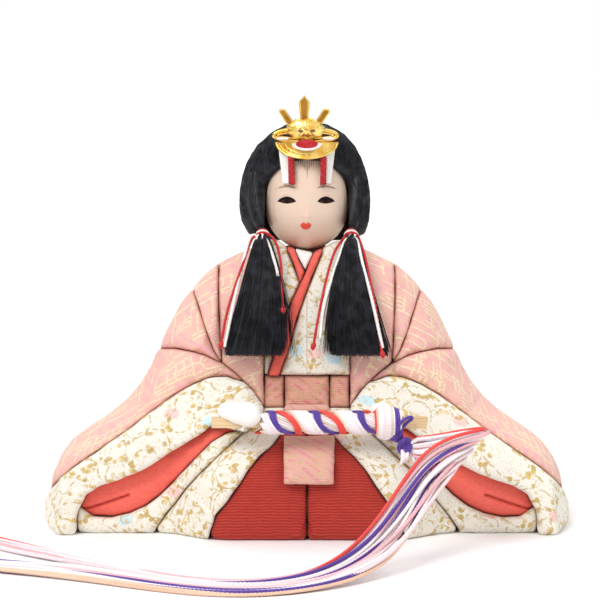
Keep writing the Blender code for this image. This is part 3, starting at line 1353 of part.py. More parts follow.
def round_cord(name, points, radius, finish, resolution):
    """A round cord through points."""
    curve = bpy.data.curves.new(name, "CURVE")
    curve.dimensions = "3D"
    curve.bevel_depth = radius
    curve.bevel_resolution = resolution
    curve.use_fill_caps = True
    spline = curve.splines.new("POLY")
    spline.points.add(len(points) - 1)
    for slot, point in zip(spline.points, points):
        slot.co = (*point, 1)
    return place(bpy.data.objects.new(name, curve), finish)


def hands(height):
    """The left hand on the fan's end, with a way for the fan through it, and the right hand behind."""
    x, _, z = seen_at(HAND_COLUMN, HAND_ROW, HAND_DEPTH)
    hand = ball("hand_left", (x, HAND_DEPTH, z), HAND_HALVES, "face_white")
    wrist = block("wrist", (x - WRIST_HALF, HAND_DEPTH, z - WRIST_HALF / 2),
                  (x + WRIST_HALF, WRIST_BACK, z + WRIST_HALF), "face_white")
    finger_x = seen_at(FINGER_COLUMN, HAND_ROW, FAN_DEPTH)[0]
    finger = ball("finger", (finger_x, FAN_DEPTH, height - FINGER_DROP), FINGER_HALVES, "face_white")
    reach = 2 * HAND_HALVES[0]
    half = FAN_ROWS[0][1] + HAND_CLEARANCE
    deep = FAN_HALF_THICKNESS + HAND_CLEARANCE
    way = block("fan_way", (x - reach, FAN_DEPTH - deep, height - half),
                (x + reach, FAN_DEPTH + deep, height + half), "face_white")
    combine(hand, wrist, "UNION")
    combine(hand, finger, "UNION")
    combine(hand, way, "DIFFERENCE")
    x, _, z = seen_at(HAND_RIGHT_COLUMN, HAND_RIGHT_ROW, HAND_RIGHT_DEPTH)
    ball("hand_right", (x, HAND_RIGHT_DEPTH, z), HAND_RIGHT_HALVES, "face_white")


def cords():
    """The free cords, from the knot round to the floor and off to the left."""
    made = []
    for name, (place_across, rest) in CORDS.items():
        route = [
            (x + place_across * dx, y + place_across * dy, z + place_across * dz)
            for x, y, z, dx, dy, dz in CORD_RUN
        ]
        route += [(x, y, CORD_FLOOR) for x, y in rest]
        points = [(x, y, max(z, CORD_FLOOR)) for x, y, z in smooth_run(route, CORD_POINT_STEP)]
        made.append(round_cord(name, points, CORD_RADIUS, name, 2))
        length = sum(math.dist(a, b) for a, b in zip(points, points[1:]))
        print(name, "length mm", round(1000 * length, 1), "points", len(points))
    return made


def main():
    for obj in list(bpy.data.objects):
        bpy.data.objects.remove(obj)
    robe_panels()
    cuffs()
    skirt()
    chest()
    sash()
    body()
    peg = lofted("neck_peg", [
        ellipse((0, NECK_DEPTH, z), (radius, 0, 0), (0, radius, 0), KNOT_SIDES)
        for z, radius in (
            (PEG_BOTTOM, PEG_RADIUS), (CORE_TOP + CLOTH_GAP, PEG_RADIUS),
            (CORE_TOP + CLOTH_GAP, PEG_SHOULDER_RADIUS),
            (CORE_TOP + CLOTH_GAP + PEG_SHOULDER_THICKNESS, PEG_SHOULDER_RADIUS),
            (CORE_TOP + CLOTH_GAP + PEG_SHOULDER_THICKNESS, PEG_RADIUS), (PEG_TOP, PEG_RADIUS),
        )
    ], "wood")
    head = head_shape()
    bore = lofted("head_bore", [
        ellipse((0, NECK_DEPTH, z), (PEG_RADIUS + PEG_CLEARANCE, 0, 0),
                (0, PEG_RADIUS + PEG_CLEARANCE, 0), KNOT_SIDES)
        for z in (CORE_TOP, PEG_TOP + PEG_CLEARANCE)
    ], "face_white")
    combine(head, bore, "DIFFERENCE")
    hair = hair_shape()
    neck = (0, NECK_DEPTH, CORE_TOP)
    carried("neck_axis", neck, [peg])
    carried("head_axis", neck, [head, hair])
    for mirrored in (False, True):
        tail, tie, at = tails(mirrored)
        carried("tie_axis_right" if mirrored else "tie_axis_left", at, [tail, tie])
    carried("crown_axis", (0, HEAD_DEPTH, HEAD_CENTRE_HEIGHT + HEAD_UPPER), crown())
    pieces, middle = fan()
    hands(middle[2])
    carried("fan_axis", middle, [*pieces, *cords()])


main()
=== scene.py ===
import json
import math
import random

import bmesh
import bpy
import numpy as np
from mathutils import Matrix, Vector
from mathutils.bvhtree import BVHTree


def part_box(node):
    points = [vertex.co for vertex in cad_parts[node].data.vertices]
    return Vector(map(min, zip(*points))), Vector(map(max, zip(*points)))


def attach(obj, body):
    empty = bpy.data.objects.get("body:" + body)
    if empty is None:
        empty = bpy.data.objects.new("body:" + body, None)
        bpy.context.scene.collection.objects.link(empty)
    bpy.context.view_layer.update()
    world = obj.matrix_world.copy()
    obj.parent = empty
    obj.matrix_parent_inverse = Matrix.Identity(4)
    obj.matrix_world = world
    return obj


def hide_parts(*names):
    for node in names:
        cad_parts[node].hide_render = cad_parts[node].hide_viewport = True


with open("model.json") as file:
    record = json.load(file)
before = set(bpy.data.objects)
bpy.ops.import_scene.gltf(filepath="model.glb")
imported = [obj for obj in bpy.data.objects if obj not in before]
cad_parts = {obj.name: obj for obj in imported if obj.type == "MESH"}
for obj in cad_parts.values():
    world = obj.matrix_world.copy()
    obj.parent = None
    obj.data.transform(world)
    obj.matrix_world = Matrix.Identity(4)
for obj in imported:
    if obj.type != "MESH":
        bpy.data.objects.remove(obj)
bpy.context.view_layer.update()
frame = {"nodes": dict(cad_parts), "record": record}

MM = 0.001
BODY_OF = {node: body for body, nodes in frame["record"]["behaviour"]["bodies"].items() for node in nodes}

# The front view that small things are placed by: columns and rows of a 600 by 600 view
VIEW_DISTANCE = 1.0
VIEW_HEIGHT = 0.19
MIDDLE_COLUMN = 306.5
FLOOR_ROW = 511.4
PIXEL = 0.220 / 519
CAMERA_X = -0.0028
AIM_HEIGHT = 0.0907
LENS = 144.4
EYE = Vector((CAMERA_X, -VIEW_DISTANCE, VIEW_HEIGHT))

WELD = 0.01 * MM
CLOTH_UNIT = 100.0
LEAN_SHARE = 0.7


# Making and placing

def seen_at(column, row, depth):
    """The world point seen at a column and row of the front view, at a depth."""
    nearer = 1 + depth / VIEW_DISTANCE
    x = (column - MIDDLE_COLUMN) * PIXEL
    z = (FLOOR_ROW - row) * PIXEL
    return Vector((x * nearer, depth, VIEW_HEIGHT + (z - VIEW_HEIGHT) * nearer))


def seen_places(points):
    """The columns and rows where world points are seen."""
    nearer = 1 + points[:, 1] / VIEW_DISTANCE
    columns = MIDDLE_COLUMN + points[:, 0] / nearer / PIXEL
    rows = FLOOR_ROW - (VIEW_HEIGHT + (points[:, 2] - VIEW_HEIGHT) / nearer) / PIXEL
    return np.stack([columns, rows], 1)


def smooth_run(points, step):
    """Points about a step apart on a smooth curve through the given ones."""
    points = np.array(points, float)
    ends = np.vstack([2 * points[0] - points[1], points, 2 * points[-1] - points[-2]])
    dense = []
    for a, b, c, d in zip(ends, ends[1:], ends[2:], ends[3:]):
        for t in np.arange(16) / 16:
            dense.append(0.5 * (2 * b + (c - a) * t + (2 * a - 5 * b + 4 * c - d) * t**2
                                + (3 * b - a - 3 * c + d) * t**3))
    dense = np.array(dense + [points[-1]])
    lengths = np.concatenate([[0], np.cumsum(np.linalg.norm(np.diff(dense, axis=0), axis=1))])
    wanted = np.linspace(0, lengths[-1], max(2, round(lengths[-1] / step)) + 1)
    return np.stack([np.interp(wanted, lengths, dense[:, k]) for k in range(points.shape[1])], 1)


def ring(centre, first, second, count, turns=(0, math.tau), whole=True):
    """Points round an ellipse, or along part of one, from its centre and its two half axes."""
    centre, first, second = (np.array(v, float) for v in (centre, first, second))
    return [centre + first * math.cos(a) + second * math.sin(a)
            for a in np.linspace(*turns, count, endpoint=not whole)]


def placed(name, mesh, finish=None):
    """A new object that holds a mesh and wears a finish."""
    piece = bpy.data.objects.new(name, mesh)
    bpy.context.scene.collection.objects.link(piece)
    if finish:
        mesh.materials.clear()
        mesh.materials.append(FINISHES[finish])
    return piece


def mended(mesh, weld=True, turn_out=True):
    """Welds a mesh's doubled points and turns its faces out."""
    bm = bmesh.new()
    bm.from_mesh(mesh)
    if weld:
        bmesh.ops.remove_doubles(bm, verts=bm.verts, dist=WELD)
    if turn_out:
        bmesh.ops.recalc_face_normals(bm, faces=bm.faces)
    bm.to_mesh(mesh)
    bm.free()


def from_faces(name, points, faces, finish, smooth=True):
    """A mesh piece from points and faces, its normals turned out."""
    mesh = bpy.data.meshes.new(name)
    mesh.from_pydata([tuple(p) for p in points], [], faces)
    mended(mesh)
    mesh.polygons.foreach_set("use_smooth", [smooth] * len(mesh.polygons))
    return placed(name, mesh, finish)


def lofted(name, rings, finish, ends="capped", smooth=True):
    """A tube through rings of points, its ends capped, open or met."""
    count = len(rings[0])
    points = [p for ring_points in rings for p in ring_points]
    faces = []
    for k in range(len(rings) - (ends != "met")):
        a, b = k * count, (k + 1) % len(rings) * count
        faces += [(a + i, a + (i + 1) % count, b + (i + 1) % count, b + i) for i in range(count)]
    if ends == "capped":
        faces += [tuple(range(count))[::-1], tuple(range(len(points) - count, len(points)))]
    return from_faces(name, points, faces, finish, smooth)


def ball(name, centre, halves, finish):
    """A rounded form with three half sizes."""
    wide, deep, high = halves
    pole = math.pi / 2 - 0.05
    return lofted(name, [ring(Vector(centre) + Vector((wide * math.sin(a), 0, 0)), (0, deep * math.cos(a), 0),
                              (0, 0, high * math.cos(a)), 32) for a in np.linspace(-pole, pole, 18)], finish)


def plain(piece):
    """The piece with its modifiers applied to its mesh."""
    graph = bpy.context.evaluated_depsgraph_get()
    mesh = bpy.data.meshes.new_from_object(piece.evaluated_get(graph), depsgraph=graph)
    name, finishes = piece.name, list(piece.data.materials)
    bpy.data.objects.remove(piece)
    made = placed(name, mesh)
    if not mesh.materials:
        for finish in finishes:
            mesh.materials.append(finish)
    return made


def modified(piece, kind, **settings):
    """The piece after one modifier."""
    modifier = piece.modifiers.new(kind.lower(), kind)
    for key, value in settings.items():
        setattr(modifier, key, value)
    return plain(piece)


def rounded(piece, voxel, rounds=0):
    """The piece in an even fine mesh, its edges softened by rounds of smoothing."""
    piece = modified(piece, "REMESH", mode="VOXEL", voxel_size=voxel, use_smooth_shade=True)
    return modified(piece, "SMOOTH", factor=0.5, iterations=rounds) if rounds else piece


def copy_of(node, name, finish):
    """A welded copy of a frame node's mesh."""
    mesh = frame["nodes"][node].data.copy()
    mended(mesh, turn_out=False)
    return placed(name, mesh, finish)


def joined(name, pieces):
    """Several mesh pieces as one."""
    bm = bmesh.new()
    finishes = []
    for piece in pieces:
        start = len(bm.faces)
        bm.from_mesh(piece.data)
        bm.faces.ensure_lookup_table()
        finish = piece.data.materials[0]
        if finish not in finishes:
            finishes.append(finish)
        for made_face in bm.faces[start:]:
            made_face.material_index = finishes.index(finish)
    mesh = bpy.data.meshes.new(name)
    bm.to_mesh(mesh)
    bm.free()
    for piece in pieces:
        bpy.data.objects.remove(piece)
    for finish in finishes:
        mesh.materials.append(finish)
    return placed(name, mesh)


def corners(piece, key="co"):
    """A piece's points, or their normals, as an array."""
    values = np.empty(len(piece.data.vertices) * 3)
    piece.data.vertices.foreach_get(key, values)
    return values.reshape(-1, 3)


def moved(piece, points):
    """Puts a piece's points at new places."""
    piece.data.vertices.foreach_set("co", points.ravel())
    piece.data.update()


def laid_out(piece, places, layer="cloth"):
    """Gives each point of a piece its place (u, v) on the cloth or along the hair."""
    mesh = piece.data
    uv = mesh.uv_layers.get(layer) or mesh.uv_layers.new(name=layer)
    loops = np.empty(len(mesh.loops), np.int32)
    mesh.loops.foreach_get("vertex_index", loops)
    uv.data.foreach_set("uv", np.asarray(places, np.float32)[loops].ravel())


def surface_of(pieces):
    """One surface for rays and distances, from several objects."""
    points, faces = [], []
    for piece in pieces:
        start = len(points)
        points += [v.co.copy() for v in piece.data.vertices]
        faces += [tuple(start + i for i in p.vertices) for p in piece.data.polygons]
    return BVHTree.FromPolygons(points, faces)


def stands_for(piece, *nodes):
    """The piece takes the place of frame nodes and rides on their body."""
    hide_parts(*nodes)
    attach(piece, BODY_OF[nodes[0]])
    return piece


# Node trees

class Value:
    """A node's output, which takes part in sums."""

    def __init__(self, socket):
        self.socket = socket

    def reckoned(self, operation, *values):
        return add_node(self.socket.id_data, "ShaderNodeMath", dict(enumerate(values)), operation=operation)

    def __add__(self, other):
        return self.reckoned("ADD", self, other)

    def __sub__(self, other):
        return self.reckoned("SUBTRACT", self, other)

    def __rsub__(self, other):
        return self.reckoned("SUBTRACT", other, self)

    def __mul__(self, other):
        return self.reckoned("MULTIPLY", self, other)


def add_node(tree, kind, inputs=(), out=0, **settings):
    """One node of a tree, with values or other nodes' outputs for its inputs; its output."""
    node = tree.nodes.new(kind)
    for key, value in settings.items():
        setattr(node, key, value)
    for key, value in dict(inputs).items():
        value = value.socket if isinstance(value, Value) else value
        if isinstance(value, bpy.types.NodeSocket):
            tree.links.new(value, node.inputs[key])
        else:
            node.inputs[key].default_value = value
    return Value(node.outputs[out])


class Finish:
    """A procedural finish: one Principled shader and the nodes that feed it."""

    def __init__(self, name, colour, roughness, **sockets):
        self.material = bpy.data.materials.new(name)
        self.material.use_nodes = True
        self.tree = self.material.node_tree
        self.inputs = self.tree.nodes["Principled BSDF"].inputs
        for key, value in {"Base_Color": (*colour, 1), "Roughness": roughness, **sockets}.items():
            self.inputs[key.replace("_", " ")].default_value = value

    def add(self, kind, inputs=(), out=0, **settings):
        return add_node(self.tree, kind, inputs, out, **settings)

    def maths(self, operation, *values):
        return self.add("ShaderNodeMath", dict(enumerate(values)), operation=operation)

    def vector(self, operation, *values):
        return self.add("ShaderNodeVectorMath", dict(enumerate(values)), operation=operation)

    def mix(self, share, first, second):
        first, second = ((*c, 1) if isinstance(c, tuple) else c for c in (first, second))
        return self.add("ShaderNodeMix", {0: share, 6: first, 7: second}, 2, data_type="RGBA")

    def step(self, value, low, high):
        """0 below low and 1 above high, eased between."""
        return self.add("ShaderNodeMapRange", {0: value, 1: low, 2: high}, interpolation_type="SMOOTHSTEP")

    def place(self, layer="cloth", scale=(1, 1, 1), turn=0.0):
        """The place on the cloth, scaled and turned."""
        uv = self.add("ShaderNodeUVMap", uv_map=layer)
        return self.add("ShaderNodeMapping", {"Vector": uv, "Scale": scale, "Rotation": (0, 0, turn)})

    def solid_place(self, scale=(1, 1, 1)):
        where = self.add("ShaderNodeTexCoord", out=3)
        return self.add("ShaderNodeMapping", {"Vector": where, "Scale": scale})

    def noise(self, vector, scale, detail=2.0, out=0, distortion=0.0):
        return self.add("ShaderNodeTexNoise", {"Vector": vector, "Scale": scale, "Detail": detail,
                                               "Distortion": distortion}, out)

    def drifted(self, vector, scale, detail, reach):
        """Places moved sideways by a soft noise."""
        drift = self.vector("MULTIPLY", self.noise(vector, scale, detail, 1), (reach, reach, 0))
        return self.vector("ADD", vector, drift)

    def cells(self, vector, scale, randomness=1.0, out=0):
        return self.add("ShaderNodeTexVoronoi", {"Vector": vector, "Scale": scale, "Randomness": randomness},
                        out, voronoi_dimensions="2D")

    def spots(self, vector, scale, low, high, randomness=1.0):
        """Sown spots: 1 at the middle of each."""
        return 1.0 - self.step(self.cells(vector, scale, randomness), low, high)

    def ribs(self, vector, pitch, waver=0.0, waver_scale=1.0):
        """Ribs of a pitch, wavering; from -1 to 1."""
        turns = self.add("ShaderNodeSeparateXYZ", {0: vector}, 1) * (math.tau / pitch)
        if waver:
            turns = turns + self.noise(vector, waver_scale) * waver
        return self.maths("SINE", turns)

    def threads(self, vector, cell, thick, share):
        """Straight threads along the rows of a grid of cells, some cells left bare, some doubled."""
        scaled = self.vector("DIVIDE", vector, cell)
        pick = self.add("ShaderNodeTexWhiteNoise", {"Vector": self.vector("FLOOR", scaled)}, 1,
                        noise_dimensions="2D")
        part = self.add("ShaderNodeSeparateXYZ", {0: self.vector("FRACTION", scaled)}, 1)
        chosen = self.maths("LESS_THAN", self.add("ShaderNodeSeparateColor", {0: pick}, 0), share)
        doubled = self.maths("LESS_THAN", self.add("ShaderNodeSeparateColor", {0: pick}, 1), share * 0.55)
        beside = self.maths("LESS_THAN", self.maths("ABSOLUTE", part - 2.6 * thick), thick / 2)
        return self.maths("MAXIMUM", self.maths("LESS_THAN", part, thick) * chosen, beside * doubled * chosen)

    def groove(self, base, deep, share=0.8):
        """The base colour, darkened with painted shade where the cloth lies close against its neighbour."""
        return self.mix(self.add("ShaderNodeAttribute", out=2, attribute_name="groove") * share, base, deep)

    def done(self, colour, height=None, depth=0.0, strength=1.0, rough=None):
        """The material, with its colour, its raised grain and its roughness."""
        fed = {"Base Color": colour, "Roughness": rough}
        if height:
            fed["Normal"] = self.add("ShaderNodeBump", {"Height": height, "Distance": depth, "Strength": strength})
        for key, value in fed.items():
            if value:
                self.tree.links.new(value.socket, self.inputs[key])
        return self.material


# Finishes

FRET = 0.40


def deeper(colour, shares):
    return tuple(c * s for c, s in zip(colour, shares))


def fret_brocade(name, ground, tint, thread, deep):
    """Silk brocade: a ribbed ground with pale straight frets and clouds of a second tint; painted shade darkens its
    rib hollows and its grooves.
    """
    f = Finish(name, ground, 0.78, Sheen_Weight=0.20, Sheen_Roughness=0.4, Specular_IOR_Level=0.25)
    uv = f.place(turn=0.38)
    woven = f.drifted(uv, 1.3, 1.0, 0.20)
    turned = f.add("ShaderNodeMapping", {"Vector": woven, "Rotation": (0, 0, math.pi / 2)})
    line = f.maths("MAXIMUM", f.threads(woven, (2.5 * FRET, FRET, 1), 0.25, 0.50),
                   f.threads(turned, (2 * FRET, FRET, 1), 0.25, 0.36))
    stitch = f.step(f.ribs(f.place(turn=0.9), 0.055), -0.9, -0.1)
    line = line * stitch * f.step(f.noise(uv, 8.0, 1.0), 0.34, 0.46)
    clouds = f.step(f.noise(uv, 1.1, 1.0), 0.46, 0.60)
    bars = f.step(f.ribs(f.place(turn=-0.5), 0.42, 4.0, 0.5), -0.1, 0.5)
    rib = f.ribs(f.place(turn=0.55), 0.098, 1.5, 0.9)
    grain = f.noise(uv, 24.0)
    dark = deeper(ground, (0.86, 0.66, 0.60))
    base = f.mix(clouds * bars * 0.85, ground, tint)
    # Painted shade in the rib hollows; the grain below takes the same darker colour as random tone.
    base = f.mix(f.step(0.0 - rib, 0.0, 1.0) * 0.42, base, dark)
    base = f.mix(f.step(grain, 0.52, 0.72) * 0.30, base, dark)
    base = f.mix(line * 0.92, base, thread)
    return f.done(f.groove(base, deep, 0.75), rib * 0.6 + line * 0.8 + grain * 0.9, 0.13 * MM, 0.8)


def stippled_brocade(name, ground, tint, thread, deep):
    """The belt's brocade: fine cross ribs, rows of olive and cream dots, and slanting strokes of a tint; painted
    shade darkens its rib hollows and its grooves.
    """
    f = Finish(name, ground, 0.78, Sheen_Weight=0.2, Sheen_Roughness=0.4, Specular_IOR_Level=0.25)
    uv = f.place()
    patch = f.step(f.noise(f.place(turn=0.7, scale=(1, 2.2, 1)), 1.6, 1.0), 0.44, 0.56)
    strokes = f.step(f.ribs(f.place(turn=0.75), 0.34, 6.0, 1.1), 0.1, 0.7)
    dots = f.spots(uv, 8.0, 0.26, 0.40, 0.6) * f.step(f.noise(uv, 2.2, 1.0), 0.42, 0.54)
    rib = f.ribs(uv, 0.078, 0.8, 1.2)
    base = f.mix(patch * strokes * 0.85, ground, tint)
    base = f.mix(dots * 0.90, base, thread)
    base = f.mix(f.spots(uv, 12.5, 0.16, 0.28, 0.8) * 0.45, base, tint)
    # Painted shade in the rib hollows.
    base = f.mix(f.step(0.0 - rib, 0.0, 1.0) * 0.45, base, deeper(ground, (0.80, 0.62, 0.58)))
    return f.done(f.groove(base, deep), rib * 0.7 + f.noise(uv, 22.0), 0.12 * MM, 0.8)


def leaf_brocade(name, ground, gold, olive, first_patch, second_patch, deep):
    """Cream brocade: arcs of fine stem, gold leaf clusters, specks and a few pale ovals, with painted shade in its
    grooves.
    """
    f = Finish(name, ground, 0.66, Sheen_Weight=0.25, Sheen_Roughness=0.4, Specular_IOR_Level=0.3)
    uv = f.place()
    bent = f.drifted(uv, 1.6, 2.0, 0.26)
    lines, near = [], []
    for scale, reach, thick in ((0.78, 0.43, 0.024), (0.52, 0.40, 0.016)):
        off = f.maths("ABSOLUTE", f.cells(bent, scale) - reach)
        lines.append(1.0 - f.step(off, thick * 0.6, thick * 1.5))
        near.append(1.0 - f.step(off, 0.06, 0.26))
    stems = f.maths("MAXIMUM", *lines) * f.step(f.noise(uv, 5.0), 0.42, 0.54)
    clump = f.maths("MAXIMUM", *near) * f.step(f.noise(uv, 1.5, 1.0), 0.45, 0.55)
    leaves = f.spots(bent, 3.1, 0.27, 0.37, 0.9) * clump
    dust = f.spots(uv, 8.0, 0.15, 0.25) * f.step(f.noise(uv, 2.4), 0.44, 0.56)
    oval = f.place(scale=(0.8, 1.1, 1), turn=0.5)
    petals = 1.0 - f.step(f.cells(oval, 0.60) + f.noise(uv, 6.0, 1.0) * 0.06, 0.17, 0.21)
    which = f.add("ShaderNodeSeparateColor", {0: f.cells(oval, 0.60, out=1)})
    weave = f.ribs(f.place(turn=0.2), 0.060, 0.8, 1.2)
    base = f.mix(petals * f.step(which, 0.66, 0.68), ground, first_patch)
    base = f.mix(petals * f.step(1.0 - which, 0.68, 0.70), base, second_patch)
    base = f.mix(f.step(weave, 0.0, 1.0) * 0.25, base, deeper(ground, (0.86, 0.86, 0.86)))
    base = f.mix(leaves * 0.90, base, f.mix(f.step(f.noise(uv, 3.0), 0.40, 0.60), gold, olive))
    base = f.mix(stems * 0.75, base, olive)
    base = f.mix(dust * 0.60, base, olive)
    height = f.maths("MAXIMUM", leaves, stems) + weave * 0.35 + f.noise(uv, 18.0)
    return f.done(f.groove(base, deep, 0.65), height, 0.09 * MM, 0.7)


def crepe(name, colour, deep, dark, pitch, waver, depth):
    """Crepe silk with wavering ribs; painted shade darkens its rib hollows and its grooves."""
    f = Finish(name, colour, 0.8, Sheen_Weight=0.15, Sheen_Roughness=0.35, Specular_IOR_Level=0.22)
    rib = f.ribs(f.place(), pitch, waver, 2.1)
    grain = f.noise(f.place(scale=(0.35, 1, 1)), 22.0)
    # Painted shade in the rib hollows; the grain below takes the same colour as random tone.
    base = f.mix(f.step(0.0 - rib, 0.0, 1.0) * 0.75, colour, deep)
    base = f.mix(f.step(grain, 0.5, 0.7) * 0.25, base, deep)
    return f.done(f.groove(base, dark, 0.85), rib + grain * 0.9, depth, 0.9)


def plain_silk(name, colour, deep, dark):
    """Crinkled silk with a fine grain, and painted shade in its grooves."""
    f = Finish(name, colour, 0.7, Sheen_Weight=0.2, Sheen_Roughness=0.3, Specular_IOR_Level=0.25)
    crinkle = f.noise(f.place(scale=(0.6, 1, 1), turn=0.6), 9.0, 3.0, distortion=0.6)
    grain = f.noise(f.place(), 26.0)
    base = f.mix(f.step(crinkle, 0.44, 0.62) * 0.40, colour, deep)
    base = f.mix(f.step(grain, 0.46, 0.66) * 0.35, base, deep)
    return f.done(f.groove(base, dark), crinkle * 2.0 + grain * 0.9, 0.10 * MM, 0.8)


def ribbed(name, colour, shade, pitch, depth):
    """White ribbed silk."""
    f = Finish(name, colour, 0.65, Sheen_Weight=0.2, Specular_IOR_Level=0.35)
    rib = f.ribs(f.place(), pitch, 0.5)
    return f.done(f.mix(f.step(rib, 0.1, 1.0) * 0.6, colour, shade), 0.0 - rib, depth, 0.8)


def thread(name, colour, shade):
    """Spun silk thread, with fine fibres."""
    f = Finish(name, colour, 0.50, Sheen_Weight=0.4, Sheen_Roughness=0.3, Specular_IOR_Level=0.45)
    where = f.solid_place()
    fibre = f.noise(where, 900.0, 3.0)
    base = f.mix(f.step(fibre, 0.45, 0.70) * 0.45, colour, shade)
    base = f.mix(f.step(f.noise(where, 120.0, 1.0), 0.50, 0.80) * 0.25, base, shade)
    return f.done(base, fibre, 0.08 * MM, 0.7)


def hair_finish(name):
    """Black silk hair: fine strands along the combing, with soft shine."""
    f = Finish(name, (0.010, 0.010, 0.014), 0.42, Specular_IOR_Level=0.30, Anisotropic=0.5)
    fine = f.noise(f.place("comb", (55, 1.2, 1)), 1.0, 3.0)
    locks = f.noise(f.place("comb", (10, 0.6, 1)), 1.0)
    tone = f.mix(f.step(fine, 0.42, 0.68), (0.003, 0.003, 0.005), (0.016, 0.017, 0.025))
    tone = f.mix(f.step(locks, 0.45, 0.7) * 0.5, tone, (0.009, 0.009, 0.014))
    return f.done(tone, fine + locks * 1.5, 0.30 * MM, 0.9, fine * 0.35 + 0.26)


def strand_finish(name):
    """Loose strands of the same hair."""
    f = Finish(name, (0.012, 0.012, 0.017), 0.40, Specular_IOR_Level=0.30)
    tone = f.noise(f.solid_place(), 260.0)
    return f.done(f.mix(f.step(tone, 0.40, 0.66), (0.004, 0.004, 0.006), (0.024, 0.024, 0.034)),
                  rough=tone * 0.3 + 0.22)


def gilt(name, colour, deep):
    """Gilded metal, its tone a little uneven; a darker copy stands for the painted shade on the crest's flat panels.
    """
    f = Finish(name, colour, 0.30, Metallic=1.0)
    where = f.solid_place()
    broad = f.noise(where, 130.0)
    return f.done(f.mix(f.step(broad, 0.42, 0.68), colour, deep), broad, 0.10 * MM, 0.4,
                  f.noise(where, 520.0, 3.0) * 0.22 + 0.20)


def doll_skin(name, colour, blush):
    """Polished shell-white skin with a faint blush."""
    f = Finish(name, colour, 0.42, Subsurface_Weight=0.25, Subsurface_Scale=2 * MM,
               Subsurface_Radius=(1.0, 0.5, 0.3), Specular_IOR_Level=0.4)
    where = f.solid_place()
    base = f.mix(f.step(f.noise(where, 60.0, 1.0), 0.40, 0.70) * 0.35, colour, blush)
    return f.done(base, f.noise(where, 1500.0), 0.02 * MM, 0.3)


def paint(name, colour, deep, roughness=0.4):
    """A brushed-on paint."""
    f = Finish(name, colour, roughness, Specular_IOR_Level=0.5 if roughness < 0.5 else 0.1)
    return f.done(f.mix(f.step(f.noise(f.solid_place(), 1200.0), 0.40, 0.66), colour, deep))


def wood(name, colour, deep):
    """Pale fan wood with its grain along the sticks."""
    f = Finish(name, colour, 0.55, Specular_IOR_Level=0.35)
    grain = f.noise(f.solid_place((40, 900, 1400)), 1.0, 3.0)
    return f.done(f.mix(f.step(grain, 0.42, 0.70), colour, deep), grain, 0.04 * MM, 0.5)


# For the brocades, the crepe and the plain silks, the last colour given is the painted shade in the grooves between
# parts.
FINISHES = {
    "robe": fret_brocade("robe_brocade", (0.87, 0.535, 0.455), (0.88, 0.44, 0.48), (1.0, 0.90, 0.56),
                         (0.56, 0.19, 0.13)),
    # The belt wears the sash's brocade made darker: painted shade for the shade the belt lies in.
    "belt": stippled_brocade("belt_brocade_painted_shade", (0.79, 0.42, 0.33), (0.74, 0.23, 0.26), (0.60, 0.46, 0.19),
                             (0.30, 0.10, 0.07)),
    "sash": stippled_brocade("sash_brocade", (0.79, 0.47, 0.385), (0.80, 0.27, 0.34), (0.68, 0.52, 0.24),
                             (0.52, 0.22, 0.16)),
    "cream": leaf_brocade("cream_brocade", (0.865, 0.83, 0.735), (0.74, 0.50, 0.12), (0.52, 0.36, 0.10),
                          (0.93, 0.60, 0.57), (0.60, 0.80, 0.87), (0.50, 0.36, 0.20)),
    "hakama": crepe("hakama_crepe", (0.53, 0.053, 0.036), (0.33, 0.020, 0.016), (0.20, 0.012, 0.012),
                    0.115, 5.5, 0.20 * MM),
    "lining": plain_silk("lining_silk", (0.95, 0.175, 0.132), (0.84, 0.115, 0.086), (0.36, 0.020, 0.018)),
    "collar": plain_silk("collar_silk", (0.84, 0.145, 0.105), (0.72, 0.085, 0.065), (0.42, 0.04, 0.03)),
    "white_silk": ribbed("white_ribbed_silk", (0.93, 0.91, 0.87), (0.78, 0.74, 0.70), 0.075, 0.10 * MM),
    "hair": hair_finish("combed_hair"),
    "strand": strand_finish("hair_strands"),
    "skin": doll_skin("shell_skin", (0.76, 0.585, 0.465), (0.76, 0.535, 0.42)),
    "hand": doll_skin("shell_hand", (0.93, 0.90, 0.86), (0.92, 0.86, 0.81)),
    "gilt": gilt("gilt_metal", (0.96, 0.72, 0.24), (0.82, 0.46, 0.07)),
    # A darker copy of the gilt: painted shade on the crest's flat panels.
    "gilt_shade": gilt("gilt_painted_shade", (0.62, 0.30, 0.05), (0.40, 0.17, 0.02)),
    "braid": thread("red_braid", (0.56, 0.010, 0.014), (0.30, 0.004, 0.006)),
    # A darker copy of the red braid: painted shade that shows the crossings of plaits and rows.
    "braid_painted_shade": thread("red_braid_painted_shade", (0.36, 0.008, 0.012), (0.20, 0.004, 0.006)),
    "braid_white": thread("white_braid", (0.90, 0.86, 0.84), (0.72, 0.64, 0.62)),
    # Dark brown paint on the boss's notches: painted shade of its chased hollows.
    "notch": paint("chased_hollow_painted_shade", (0.24, 0.12, 0.03), (0.14, 0.06, 0.015)),
    "ink": paint("ink", (0.018, 0.009, 0.009), (0.008, 0.004, 0.004), 0.9),
    "iris": paint("iris_brown", (0.050, 0.022, 0.020), (0.030, 0.013, 0.012), 0.9),
    "brow": paint("brow_wash", (0.34, 0.235, 0.175), (0.46, 0.335, 0.26), 0.6),
    "shade": paint("skin_shade", (0.70, 0.50, 0.40), (0.76, 0.57, 0.46), 0.6),
    "lip": paint("lip_red", (0.80, 0.080, 0.040), (0.70, 0.050, 0.026)),
    "wood": wood("fan_wood", (0.78, 0.58, 0.34), (0.62, 0.42, 0.21)),
    "peg": wood("peg_wood", (0.66, 0.50, 0.32), (0.52, 0.37, 0.22)),
    "card": paint("base_card", (0.66, 0.62, 0.54), (0.58, 0.53, 0.45), 0.9),
    "floor": paint("floor_white", (0.97, 0.97, 0.975), (0.95, 0.95, 0.955), 0.9),
}
